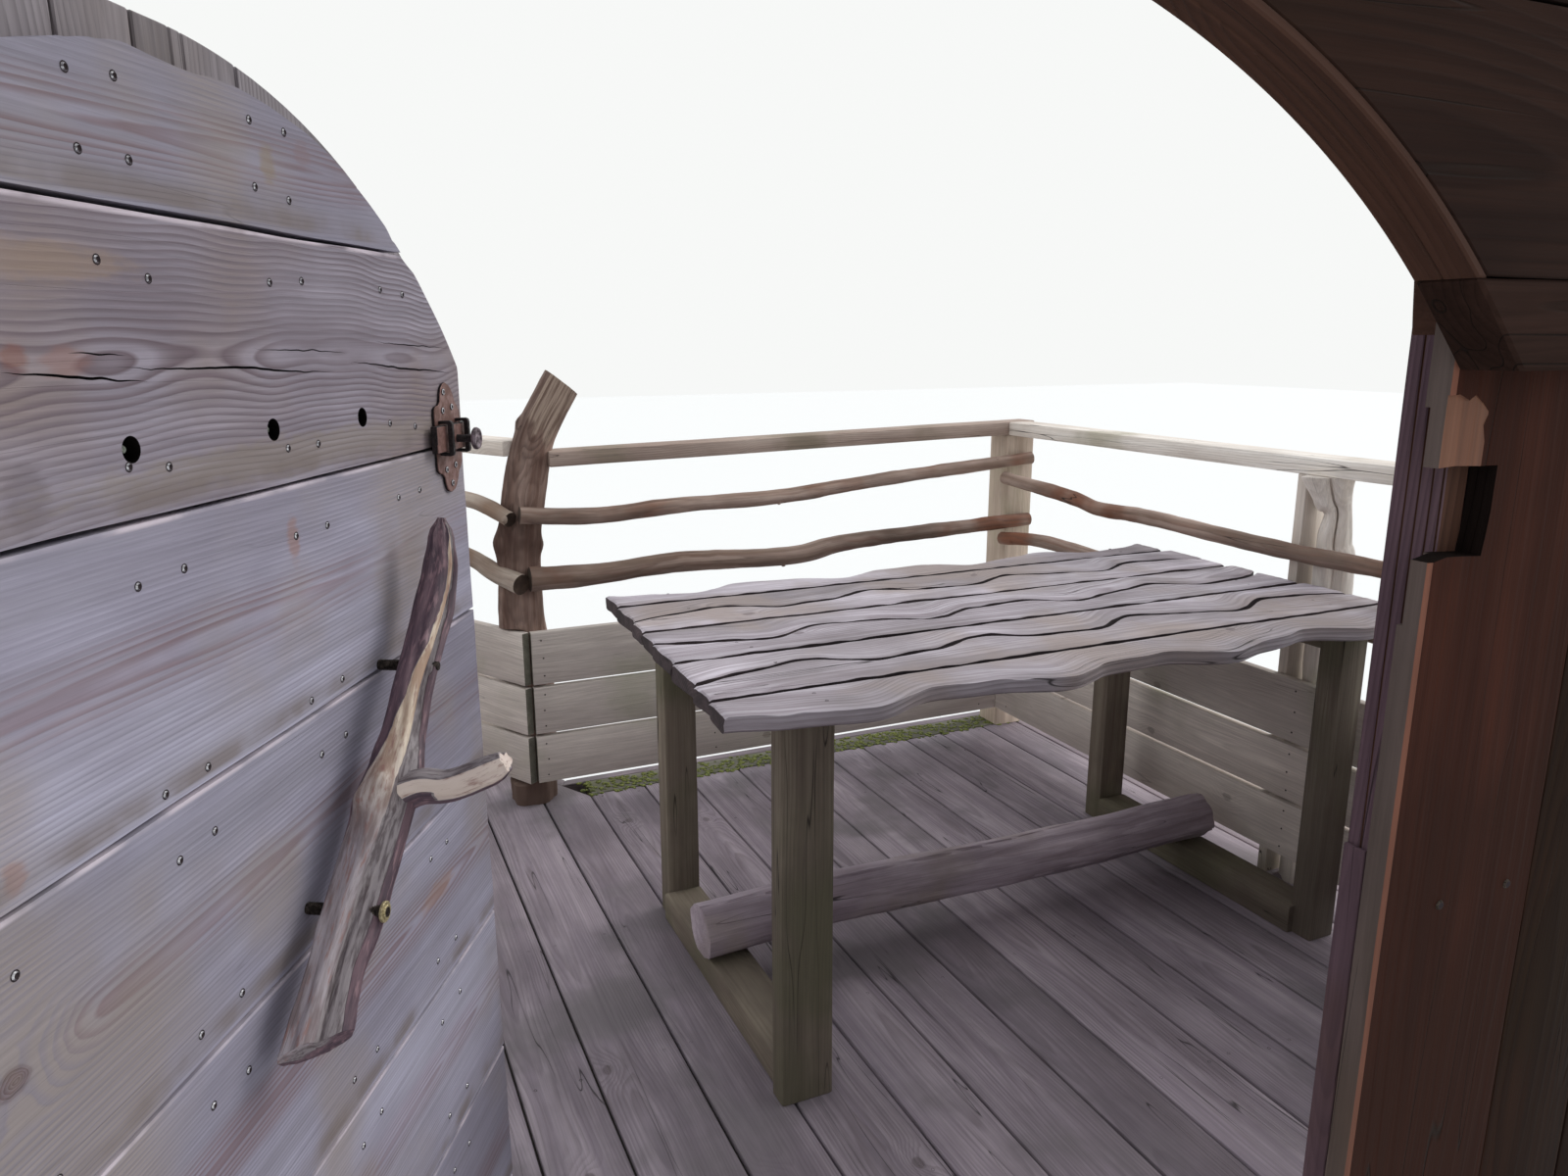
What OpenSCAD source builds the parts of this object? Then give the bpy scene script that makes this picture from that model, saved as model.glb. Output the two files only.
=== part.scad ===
// Tree house terrace with an arched door, on log posts.
// X runs along the cabin wall, Y outward over the terrace, Z up, all in millimetres.
// Plan measures start at the middle of the doorway (x) and at the inner face of the door casing (y).
// Heights called "above deck" start at the top of the deck boards.

/* [Terrace] */
// Height of the deck boards above the ground
deck_h = 1900; // [1200:10:2600]
// Distance from the doorway's middle to the left edge of the deck
deck_left = 1120; // [900:10:1400]
// Distance from the doorway's middle to the right edge of the deck
deck_right = 2250; // [2150:10:2600]
// How far the main deck reaches out from the wall
deck_reach = 2790; // [2700:10:2900]
// How far the landing on the left reaches out from the wall
landing_reach = 3500; // [3300:10:3900]
// Thickness of the deck boards
board_t = 28; // [22:1:40]
// Widths of the narrow and wide deck boards with their gap, which take turns
board_pitches = [146, 177.5];
// Gap between two deck boards
board_gap = 8; // [4:1:12]
// Diameter of the log posts under the deck
support_d = 200; // [140:5:260]

/* [Guard rails] */
// Height of the top rail's upper face above the deck
rail_top_h = 1114; // [1000:1:1200]
// Width of the top rail, laid flat
rail_w = 95; // [70:1:120]
// Thickness of the top rail
rail_t = 45; // [30:1:60]
// Side of the square rail posts
rail_post_w = 110; // [90:1:140]
// Thickness of the low guard boards
guard_t = 25; // [18:1:32]
// Lower and upper edges of the three guard boards, above the deck
guard_edges = [[82, 229], [239, 384], [394, 555]];
// Diameter of the natural logs between the posts
log_d = 52; // [35:1:70]
// Direction of the landing's guard, measured from the Y axis towards the left
landing_turn = 28.8; // [20:0.1:40]

/* [Wall and doorway] */
// Height of the wall's top above the deck
wall_h = 2150; // [1950:10:2400]
// Half of the clear width between the door casings
doorway_half = 500; // [480:1:520]
// Radius of the arch over the doorway
arch_r = 608; // [600:1:612]
// Height of the two arch centres above the deck
arch_centre_h = 985; // [950:1:1020]
// Half of the distance between the two arch centres
arch_flat = 37; // [20:1:60]
// Width of the inner door casings
casing_w = 162; // [120:1:180]
// Thickness of the inner door casings
casing_t = 18; // [15:1:25]
// Thickness of the wall's outer boards
cladding_t = 22; // [16:1:30]

/* [Door] */
// Width of the door leaf
leaf_w = 1042; // [1000:1:1050]
// Thickness of the leaf's inner, level planks
inner_t = 27; // [20:1:32]
// Thickness of the leaf's outer, upright boards
outer_t = 22; // [15:1:25]
// Height of one inner plank with its joint
plank_pitch = 218; // [200:1:235]
// Angle at which the door stands open
door_open = 60.7; // [0:0.1:105]
// Lowest point of the leaf above the deck
leaf_foot = 48; // [40:1:60]
// Height of the slide bolt above the deck
bolt_h = 1284; // [1200:1:1350]

/* [Table] */
// Height of the table's top face above the deck
table_h = 810; // [740:1:830]
// Left and right ends of the table top
table_x = [418, 2088];
// Thickness of the table planks
plank_t = 34; // [28:1:45]
// Side of the square table legs
leg_w = 105; // [90:1:120]

/* [Hidden] */

eps = 1;
rim_t = 40;
rim_h = 150;
deck_front = 90;
origin_x = (deck_right - deck_left) / 2;
origin_y = (landing_reach - deck_front) / 2;

joist_t = 60;
joist_h = 170;
beam_w = 120;
beam_h = 180;
joist_top = deck_h - board_t;
beam_top = joist_top - joist_h;
support_h = beam_top - beam_h;
beam_x = [-900, 20, 2050];
support_y = [150, 2600, 3250];
joist_y = [-55, 420, 900, 1380, 1860, 2340, 2730, 3110, 3465];

rail_in_right = 2100;
rail_in_left = -970;
rail_in_rear = 2670;
mid_post_y = 1340;
left_mid_post_y = 1640;
landing_post_y = 3380;
rear_rail_drop = 33;
corner_x = 387;
landing_dir = [-sin(landing_turn), cos(landing_turn)];
landing_out = [cos(landing_turn), sin(landing_turn)];
landing_len = 860;

post_x0 = 530;
post_x1 = 640;
post_y0 = casing_t;
post_y1 = 56;
wall_face = post_y1 + cladding_t;
wall_left = -1080;
wall_right = 2210;
arch_z = deck_h + arch_centre_h;
rib_front = -40;
rib_step = -18;
corbel_top = 447;
corbel_drop = 52;

hinge_x = -535;
hinge_y = 78;
pin_r = 6;
eye_r = 12;
leaf_half = leaf_w / 2;
leaf_y0 = 23;
leaf_y1 = leaf_y0 + inner_t;
leaf_y2 = leaf_y1 + outer_t;
leaf_r = 615;
outer_leaf_r = 653;
leaf_top_joint = 1491;
hinge_heights = [300, 1323];
strap_t = 6;
bolt_y = 3;
bolt_r = 6;

table_under = table_h - plank_t;
joint_y = [1045, 1167, 1290, 1399, 1514, 1630, 1746, 1862, 1963];
leg_x = [557, 1890];
leg_y = [1138, 1870];
sill_h = 70;
bearer_h = 70;

$fn = 48;

// Puts the object's middle on the origin, standing on the ground.
module placed() {
    translate([-origin_x, -origin_y, 0]) children();
}

// A box between two corners, with heights measured from the ground.
module slab(x0, x1, y0, y1, z0, z1) {
    translate([x0, y0, z0]) cube([x1 - x0, y1 - y0, z1 - z0]);
}

// The same box, with heights measured from the deck.
module on_deck(x0, x1, y0, y1, z0, z1) {
    slab(x0, x1, y0, y1, deck_h + z0, deck_h + z1);
}

// An upright outline in the X-Z plane, given thickness from y0 to y1.
module upright(y0, y1) {
    translate([0, y1, 0]) rotate([90, 0, 0]) linear_extrude(y1 - y0) children();
}

function unit(v) = v / norm(v);
function ring(centre, r, side, up, n) =
    [for (k = [0:n - 1]) centre + r * (cos(360 * k / n) * side + sin(360 * k / n) * up)];

// A round limb through a list of centres, each with its own radius.
module limb(centres, radii, n = 8) {
    last = len(centres) - 1;
    along = unit(centres[last] - centres[0]);
    side = unit(cross(along, abs(along.z) > 0.8 ? [0, 1, 0] : [0, 0, 1]));
    up = cross(along, side);
    points = [for (i = [0:last]) each ring(centres[i], radii[i], side, up, n)];
    walls = [for (i = [0:last - 1], k = [0:n - 1])
        let (a = i * n + k, b = i * n + (k + 1) % n) each [[a, a + n, b], [b, a + n, b + n]]];
    first_cap = [for (k = [0:n - 1]) k];
    last_cap = [for (k = [n - 1:-1:0]) last * n + k];
    polyhedron(points, concat([first_cap, last_cap], walls), convexity = 4);
}

// Smooth curve through the points, with n steps from each one to the next.
function spline(p, n) = let (last = len(p) - 1) concat(
    [for (i = [0:last - 1], k = [0:n - 1])
        let (t = k / n, a = p[max(i - 1, 0)], b = p[i], c = p[i + 1], d = p[min(i + 2, last)])
        b + (c - a) * t / 2 + (2 * a - 5 * b + 4 * c - d) * t * t / 2
            + (3 * b - a - 3 * c + d) * t * t * t / 2],
    [p[last]]);

// A peeled log along a smooth curve, a little thicker and thinner by turns.
module natural_log(points, d0 = log_d, d1 = log_d, steps = 3) {
    centres = spline(points, steps);
    last = len(centres) - 1;
    limb(centres, [for (i = [0:last]) (d0 + (d1 - d0) * i / last) / 2 * (1 + 0.05 * sin(140 * i))]);
}

// Plan outline of the deck, with the landing's slanting edge.
module deck_outline() {
    edge = [corner_x, rail_in_rear - guard_t] + 175 * landing_out;
    reach = landing_reach - edge.y;
    polygon([
        [-deck_left, -deck_front], [deck_right, -deck_front], [deck_right, deck_reach],
        edge + (deck_reach - edge.y) / landing_dir.y * landing_dir,
        edge + reach / landing_dir.y * landing_dir, [-deck_left, landing_reach]
    ]);
}

// Round log posts from the ground to the beams.
function support_spots() = [
    for (i = [0:2]) [beam_x[i], support_y[0]], [beam_x[0], support_y[2]],
    [beam_x[1], support_y[2]], [beam_x[2], support_y[1]]
];

module support_posts() {
    color("#7b6a58")
    for (p = support_spots())
        translate([p.x, p.y, 0]) cylinder(d1 = support_d, d2 = support_d * 0.9, h = support_h);
}

module deck_beams() {
    color("#6f6253")
    for (i = [0:2])
        slab(beam_x[i] - beam_w / 2, beam_x[i] + beam_w / 2, -deck_front,
            i == 2 ? deck_reach - 20 : landing_reach - 10, support_h, beam_top);
}

module deck_joists() {
    color("#6b5f52")
    intersection() {
        union() for (y = joist_y)
            slab(-deck_left, deck_right, y - joist_t / 2, y + joist_t / 2, beam_top, joist_top);
        translate([0, 0, beam_top]) linear_extrude(joist_h) deck_outline();
    }
}

// Slanting struts from the log posts up to the beams.
module knee_braces() {
    reach = 420;
    size = 70;
    color("#6f6253")
    difference() {
        for (p = support_spots()) {
            way = p.y == support_y[0] ? 1 : -1;
            translate([p.x - size / 2, p.y, support_h - reach])
                rotate([90, 0, 90]) linear_extrude(size)
                    polygon([[0, 0], [way * reach, reach], [way * (reach - 100), reach], [0, 100]]);
        }
        for (p = support_spots())
            translate([p.x, p.y, 0])
                cylinder(d1 = support_d + 0.6, d2 = support_d * 0.9 + 0.6, h = support_h);
    }
}

// Boards round the deck's edge.
module rim_boards() {
    color("#6e655b")
    translate([0, 0, deck_h - rim_h]) linear_extrude(rim_h) difference() {
        offset(delta = rim_t) deck_outline();
        deck_outline();
    }
}

// Left edge of deck board k, counted from the joint nearest the doorway.
function board_edge(k) = 105.6 + floor(k / 2) * (board_pitches[0] + board_pitches[1])
    + (k % 2 == 0 ? 0 : board_pitches[0]);

module deck_boards() {
    color("#67605c")
    translate([0, 0, joist_top]) linear_extrude(board_t) intersection() {
        difference() {
            deck_outline();
            translate([corner_x + 187, rail_in_rear + 10]) square([deck_right, 200]);
        }
        for (k = [-8:14])
            let (start = board_edge(k + 8) - 4 * (board_pitches[0] + board_pitches[1]),
                width = board_pitches[k % 2 == 0 ? 0 : 1] - board_gap)
            translate([start + board_gap / 2, -deck_front]) square([width, landing_reach + deck_front]);
    }
}

// One board that closes the deck's outer edge, laid across the others.
module rear_edge_board() {
    color("#5f6248")
    slab(corner_x + 195, deck_right, rail_in_rear + 18, deck_reach, joist_top, deck_h);
}

// The natural trunk that serves as the left rail post: it leans and is sawn off at a slant.
trunk_centres = [
    [409, 2738, -60], [412, 2740, 300], [412, 2740, 400], [403, 2738, 620], [412, 2738, 800],
    [437, 2738, 970], [474, 2738, 1120], [540, 2740, 1240], [600, 2742, 1340]
];
trunk_radii = [74, 78, 74, 66, 62, 63, 58, 58, 54];

// Room for the guard boards, which are let into the trunk.
module board_housing() {
    on_deck(corner_x - 60, corner_x + 240, rail_in_rear - 90, rail_in_rear, 60, 570);
    at_landing_guard() on_deck(-90, guard_t, -60, 240, 60, 570);
}

module left_post() {
    color("#7d6c60") difference() {
        translate([0, 0, deck_h]) limb(trunk_centres, trunk_radii, 12);
        translate([598, 2742, deck_h + 1320.5]) rotate([0, 40, 0]) cube([400, 400, 120], center = true);
        on_deck(300, 520, 2600, 2880, -150, 0);
        board_housing();
    }
}

// The trunk's shape with a hair of room, for what is cut to fit against it.
module trunk_room() {
    translate([0, 0, deck_h]) limb(trunk_centres, [for (r = trunk_radii) r + 0.3], 12);
}

// A square rail post standing on the deck.
module rail_post(x, y) {
    on_deck(x, x + rail_post_w, y, y + rail_post_w, 0, rail_top_h - rail_t);
}

module corner_post() {
    color("#7f7364") rail_post(rail_in_right, rail_in_rear);
}

// A natural post that narrows and then spreads under the rail, with a board upright behind it.
mid_post_centres = [
    [2156, 1372, -60], [2156, 1372, 560], [2150, 1372, 842], [2146, 1376, 910], [2146, 1374, 980],
    [2140, 1386, 1012], [2128, 1398, 1080]
];
mid_post_radii = [52, 50, 50, 42, 34, 48, 66];

module mid_post_room(room) {
    limb([for (p = mid_post_centres) p + [0, 0, deck_h]], [for (r = mid_post_radii) r + room], 14);
}

module right_post() {
    under_rail = rail_top_h - rail_t;
    color("#a39a90") difference() {
        mid_post_room(0);
        on_deck(2000, 2300, 1250, 1500, -150, 0);
        on_deck(2000, 2300, 1250, 1500, under_rail, under_rail + 100);
        on_deck(2000, 2300, mid_post_y + 94, 1500, 0, under_rail);
    }
    color("#a39a90")
    on_deck(rail_in_right, rail_in_right + rail_w, mid_post_y + 94.3, mid_post_y + 122, 0, under_rail);
}

// Turns to the landing's guard: x outward from its boards, y along them from the corner.
module at_landing_guard() {
    translate([corner_x, rail_in_rear - guard_t, 0]) rotate([0, 0, landing_turn]) children();
}

// Posts of the left side and the post that ends the landing's guard.
module side_posts() {
    color("#80766a") {
        rail_post(rail_in_left - rail_post_w, left_mid_post_y);
        rail_post(rail_in_left - rail_post_w, landing_post_y);
        at_landing_guard() rail_post(guard_t, landing_len - rail_post_w);
    }
}

// The rear rail rises a little from the trunk to the corner.
module rear_rail() {
    x0 = 500;
    x1 = rail_in_right + rail_post_w;
    top = deck_h + rail_top_h;
    color("#b3a99b") difference() {
        upright(rail_in_rear, rail_in_rear + rail_w) polygon([
            [x0, top - rail_t - rear_rail_drop], [rail_in_right, top - rail_t], [x1, top - rail_t],
            [x1, top], [rail_in_right, top], [x0, top - rear_rail_drop]
        ]);
        trunk_room();
    }
}

module right_rail() {
    color("#b3a99b")
    on_deck(rail_in_right, rail_in_right + rail_w, wall_face, rail_in_rear,
        rail_top_h - rail_t, rail_top_h);
}

module left_rail() {
    color("#b3a99b")
    on_deck(rail_in_left - rail_w, rail_in_left, wall_face, landing_post_y + rail_post_w,
        rail_top_h - rail_t, rail_top_h);
}

module landing_rail() {
    color("#b3a99b") difference() {
        at_landing_guard()
            on_deck(guard_t, guard_t + rail_w, 70, landing_len, rail_top_h - rail_t, rail_top_h);
        trunk_room();
    }
}

// Logs of the rear side: x and height above deck of points along each.
rear_upper_line = [[398, 907], [619, 891], [877, 905], [1222, 912], [1593, 946], [2182, 989]];
rear_lower_line = [
    [417, 717], [613, 715], [873, 729], [1148, 719], [1295, 720], [1444, 744], [1761, 758], [2182, 772]
];
rear_log_y = rail_in_rear - log_d / 2 + 3;

module rear_log(line, d0, d1) {
    difference() {
        natural_log([for (p = line) [p.x, rear_log_y, deck_h + p.y]], d0, d1);
        rail_post(rail_in_right, rail_in_rear);
        trunk_room();
    }
}

module rear_upper_log() {
    color("#85705f") rear_log(rear_upper_line, 56, 46);
}

module rear_lower_log() {
    color("#7d6858") rear_log(rear_lower_line, 54, 44);
}

// Logs of the right side: y and height above deck of points along each.
right_log_lines = [
    [[60, 884], [600, 888], [1183, 880], [1516, 878], [1942, 889], [2155, 884], [2298, 903], [2650, 924]],
    [[60, 718], [800, 730], [1400, 722], [1900, 726], [2200, 734], [2435, 736], [2650, 710]]
];

module right_logs() {
    x = rail_in_right - 23;
    color("#94867a") difference() {
        for (line = right_log_lines)
            natural_log([for (p = line) [x, p.x, deck_h + p.y]], 48, 48);
        mid_post_room(0.3);
        slab(rail_in_right, rail_in_right + rail_w, mid_post_y, mid_post_y + 140, deck_h, deck_h + 1000);
        slab(x - 60, x + 60, 0, wall_face, deck_h, deck_h + 1000);
    }
}

// Logs of the left side, laid out in the same way.
left_log_lines = [
    [[60, 890], [700, 902], [1500, 884], [2300, 896], [3000, 880], [3470, 892]],
    [[60, 716], [900, 702], [1800, 722], [2600, 706], [3470, 724]]
];

module left_logs() {
    x = rail_in_left + 23;
    color("#85705f") difference() {
        for (line = left_log_lines)
            natural_log([for (p = line) [x, p.x, deck_h + p.y]], 48, 48);
        rail_post(rail_in_left - rail_post_w, left_mid_post_y);
        rail_post(rail_in_left - rail_post_w, landing_post_y);
        slab(x - 60, x + 60, 0, wall_face, deck_h, deck_h + 1000);
    }
}

// Logs of the landing's guard: distance from the corner and height above deck.
landing_log_lines = [
    [[26, 892], [124, 921], [220, 935], [500, 950], [landing_len, 960]],
    [[-8, 705], [116, 728], [228, 760], [500, 790], [landing_len, 803]]
];

module landing_logs() {
    color("#85705f") difference() {
        at_landing_guard()
            for (line = landing_log_lines)
                natural_log([for (p = line) [guard_t - 23, p.x, deck_h + p.y]], 48, 48);
        at_landing_guard() rail_post(guard_t, landing_len - rail_post_w);
        trunk_room();
    }
}

// Three level boards, one above the other.
module guard_boards(x0, x1, y0, y1) {
    for (edge = guard_edges)
        on_deck(x0, x1, y0, y1, edge[0], edge[1]);
}

// Half space on one side of the mitre between the rear boards and the landing's.
module corner_mitre(side) {
    translate([corner_x + side, rail_in_rear - guard_t, deck_h])
        rotate([0, 0, (landing_turn + 90) / 2])
            translate([-100, side > 0 ? 0 : -200, 0]) cube([300, 200, 600]);
}

module rear_guard_boards() {
    color("#94907f")
    difference() {
        guard_boards(corner_x, rail_in_right - guard_t - 2, rail_in_rear - guard_t, rail_in_rear);
        corner_mitre(1);
    }
}

module right_guard_boards() {
    color("#86836f")
    guard_boards(rail_in_right - guard_t, rail_in_right, wall_face, rail_in_rear);
}

module left_guard_boards() {
    color("#94907f")
    guard_boards(rail_in_left, rail_in_left + guard_t, wall_face, landing_post_y + rail_post_w);
}

module landing_guard_boards() {
    color("#94907f")
    difference() {
        at_landing_guard() guard_boards(0, guard_t, 0, landing_len);
        corner_mitre(-1);
    }
}

// Posts, sill and plate of the cabin wall, apart from the door posts.
module wall_frame() {
    color("#6a5648") {
        for (side = [-1, 1])
            on_deck(side < 0 ? wall_left : post_x1, side < 0 ? -post_x1 : wall_right,
                post_y0, post_y1, 0, 60);
        on_deck(wall_left, wall_right, post_y0, post_y1, wall_h - 60, wall_h);
        for (x = [wall_left, 1110, 1620, wall_right - 60])
            on_deck(x, x + 60, post_y0, post_y1, 60, wall_h - 60);
    }
}

// Upright boards side by side from x0 to x1.
module upright_boards(x0, x1, y0, y1, count, z0, z1) {
    pitch = (x1 - x0) / count;
    for (i = [0:count - 1])
        on_deck(x0 + i * pitch + 1.5, x0 + (i + 1) * pitch - 1.5, y0, y1, z0, z1);
}

module left_wall_boards() {
    color("#8b8578")
    upright_boards(wall_left, -560, post_y1, wall_face, 4, 0, wall_h);
}

module right_wall_boards() {
    color("#8b8578")
    upright_boards(560, wall_right, post_y1, wall_face, 12, 0, wall_h);
}

module left_wall_lining() {
    color("#6d6a55")
    upright_boards(wall_left, -doorway_half - casing_w, 0, casing_t, 4, 0, wall_h);
}

module right_wall_lining() {
    color("#6d6a55")
    upright_boards(doorway_half + casing_w, wall_right, 0, casing_t, 14, 0, wall_h);
}

// Outline of the arch: two arcs joined by a short level top, open downward.
module arch_outline(r) {
    hull() for (side = [-1, 1])
        translate([side * arch_flat, arch_z]) circle(r, $fn = 96);
}

// Upright boards over the doorway on the outside, cut to the arch.
module head_boards() {
    color("#8b8578")
    upright(post_y1, wall_face) difference() {
        for (i = [0:7])
            translate([-560 + i * 140 + 1.5, deck_h + 1400]) square([137, wall_h - 1400]);
        arch_outline(outer_leaf_r + 42);
    }
}

// Solid head between the door posts, stepped back from the rib.
module arch_head() {
    color("#5d4a3e") {
        upright(0, post_y0) difference() {
            translate([-doorway_half - casing_w, deck_h + corbel_top + arch_centre_h])
                square([2 * (doorway_half + casing_w), wall_h - corbel_top - arch_centre_h]);
            arch_outline(arch_r + 21);
        }
        upright(post_y0, post_y1) difference() {
            translate([-post_x0, deck_h + 1400]) square([2 * post_x0, wall_h - 60 - 1400]);
            arch_outline(outer_leaf_r + 13);
        }
    }
}

// The curved rib on the inside, with a lip that covers the ends of the lining boards.
module arch_rib() {
    color("#5b463c") difference() {
        union() {
            upright(rib_step, 0) arch_outline(arch_r + 62);
            upright(rib_front, rib_step + eps) arch_outline(arch_r + 6);
        }
        upright(rib_front - eps, eps) arch_outline(arch_r);
        slab(-1000, 1000, rib_front - eps, eps, 0, arch_z + corbel_top);
    }
}

// Battens that hold the lining boards off the head.
module lining_battens() {
    edge = doorway_half + casing_w;
    foot = arch_z + corbel_top;
    color("#5d4a3e")
    upright(rib_step, 0) difference() {
        translate([-edge, foot]) square([2 * edge, deck_h + wall_h - foot]);
        translate([-edge + 50, foot - eps]) square([2 * edge - 100, deck_h + wall_h - foot - 50]);
        arch_outline(arch_r + 62);
    }
}

// Level boards on the inside, over the arch.
module arch_lining_boards() {
    first = arch_centre_h + corbel_top;
    rows = 5;
    pitch = (wall_h - first) / rows;
    color("#6b6152")
    upright(rib_front, rib_step) difference() {
        for (i = [0:rows - 1])
            translate([-doorway_half - casing_w, deck_h + first + i * pitch + 1])
                square([2 * (doorway_half + casing_w), pitch - 2]);
        arch_outline(arch_r + 6);
    }
}

// Blocks under the two ends of the rib, cut back to the casings.
module corbels() {
    top = arch_z + corbel_top;
    foot = top - corbel_drop;
    inner = arch_flat + sqrt(arch_r * arch_r - corbel_top * corbel_top);
    color("#5b463c")
    for (side = [-1, 1])
        upright(rib_front, 0) polygon([
            [side * inner, top], [side * doorway_half, foot], [side * (doorway_half + 130), foot],
            [side * (doorway_half + 130), top]
        ]);
}

// Room beside the doorway for the bolt's end, at the bolt's height.
module bolt_room(x0, x1, y0, y1) {
    on_deck(x0, x1, y0 - eps, y1 + eps, bolt_h - 26, bolt_h + 34);
}

module door_posts() {
    color("#6b5a50") difference() {
        for (side = [-1, 1])
            on_deck(side < 0 ? -post_x1 : post_x0, side < 0 ? -post_x0 : post_x1, post_y0, post_y1,
                0, wall_h - 60);
        bolt_room(post_x0 + 22, post_x0 + 70, post_y0, post_y1);
    }
}

module door_casings() {
    top = arch_centre_h + corbel_top;
    color("#6f4f40") difference() {
        for (side = [-1, 1])
            on_deck(side < 0 ? -doorway_half - casing_w : doorway_half,
                side < 0 ? -doorway_half : doorway_half + casing_w, 0, casing_t, 0, top);
        // The notch is open to the doorway, with a shallow ramp above it and room behind for the plate.
        bolt_room(doorway_half - eps, post_x0 + 26, 0, casing_t);
        on_deck(doorway_half - eps, doorway_half + 36, -eps, 4, bolt_h + 33, bolt_h + 81);
        on_deck(doorway_half - eps, doorway_half + 17, casing_t - 4, casing_t + eps,
            bolt_h - 72, bolt_h + 72);
    }
}

module threshold() {
    color("#6d6459") {
    on_deck(-doorway_half, doorway_half, 0, post_y0, 0, leaf_foot - 8);
    on_deck(-post_x0, post_x0, post_y0, post_y1, 0, leaf_foot - 8);
    }
}

// Iron pintles: a plate on the post, a neck and an upright pin.
module hinge_pintles() {
    color("#4a403a")
    for (h = hinge_heights) {
        on_deck(hinge_x - 22, hinge_x + 4, post_y1, post_y1 + 5, h - 74, h - 29);
        on_deck(hinge_x - 9, hinge_x + 3, post_y1 + 5, hinge_y, h - 41, h - 29);
        translate([hinge_x, hinge_y, deck_h + h - 41]) cylinder(r = pin_r, h = 69);
    }
}

// Turns a piece of the closed door to the angle at which it stands open.
module swung() {
    translate([hinge_x, hinge_y, 0]) rotate([0, 0, door_open]) translate([-hinge_x, -hinge_y, 0]) children();
}

module leaf_outline(r) {
    intersection() {
        translate([-leaf_half, deck_h + leaf_foot]) square([leaf_w, wall_h]);
        arch_outline(r);
    }
    translate([-leaf_half, deck_h + leaf_foot]) square([leaf_w, arch_centre_h - leaf_foot]);
}

// Level planks on the inside of the leaf, with a narrow joint between them.
module door_planks() {
    joint = 4;
    color("#a59ca1") swung()
    upright(leaf_y0, leaf_y1) difference() {
        leaf_outline(leaf_r);
        for (i = [0:6])
            translate([-leaf_half - eps, deck_h + leaf_top_joint - i * plank_pitch - joint / 2])
                square([leaf_w + 2 * eps, joint]);
    }
}

// Upright boards on the outside, which stand above the inner planks round the arch.
module door_outer_boards() {
    count = 8;
    pitch = leaf_w / count;
    color("#8f8a84") swung()
    upright(leaf_y1, leaf_y2) difference() {
        leaf_outline(outer_leaf_r);
        for (i = [1:count - 1])
            translate([-leaf_half + i * pitch - 1.5, deck_h]) square([3, wall_h]);
    }
}

// Long iron straps with an eye that turns on the pintle.
module strap_hinges() {
    color("#4a403a") swung()
    for (h = hinge_heights)
        translate([0, 0, deck_h + h]) difference() {
            union() {
                translate([hinge_x, hinge_y, -22]) cylinder(r = eye_r, h = 44);
                translate([0, leaf_y2 + strap_t, 0]) rotate([90, 0, 0]) linear_extrude(strap_t)
                    polygon([[hinge_x + 4, -22], [-360, -22], [300, -13], [330, -22], [352, 0],
                        [330, 22], [300, 13], [-360, 22], [hinge_x + 4, 22]]);
            }
            translate([hinge_x, hinge_y, -23]) cylinder(r = pin_r + 0.5, h = 46);
        }
}

// Split branch used as a pull handle, with a stub that points away from the leaf.
handle_centres = [
    [-52, 770], [-12, 806], [5, 824], [24, 843], [55, 870], [112, 920], [143, 950], [173, 980],
    [200, 1010], [225, 1044], [254, 1073], [290, 1110], [316, 1150], [325, 1186], [330, 1207]
];
handle_radii = [28, 28, 26, 25, 27.5, 28, 28, 25, 21, 20, 20, 21, 20, 13, 8];
handle_off = 46;

// Places of the two rods with the distance that each reaches off the leaf.
rod_spots = [[248, 1061, 66], [64, 878, 79]];

module rods(r, room) {
    for (p = rod_spots)
        translate([p.x, leaf_y0, deck_h + p.y]) rotate([90, 0, 0]) cylinder(r = r, h = p.z + room);
}

module branch_handle() {
    y = leaf_y0 - handle_off;
    color("#7c5f54") swung() difference() {
        translate([0, 0, deck_h]) {
            limb([for (p = handle_centres) [p.x, y, p.y]], handle_radii, 10);
            limb([
                [150, y, 952], [158, y - 30, 964], [160, y - 63, 966], [160, y - 103, 983],
                [160, y - 120, 993]
            ], [18, 17, 15, 14, 9], 8);
        }
        rods(6.3, 40);
        // The foot is cut at a slant.
        translate([-18, y, deck_h + 791]) rotate([0, -136, 0]) rotate([31, 0, 0])
            translate([-60, -60, 0]) cube([120, 120, 80]);
    }
}

// Iron rods that run through the handle into the leaf, the lower one with a washer at its end.
module handle_rods() {
    color("#45403c") swung() {
        rods(6, 0);
        translate([rod_spots[1].x, leaf_y0 - handle_off - 28.5, deck_h + rod_spots[1].y])
            rotate([90, 0, 0]) cylinder(r = 10, h = 4);
    }
}

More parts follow.
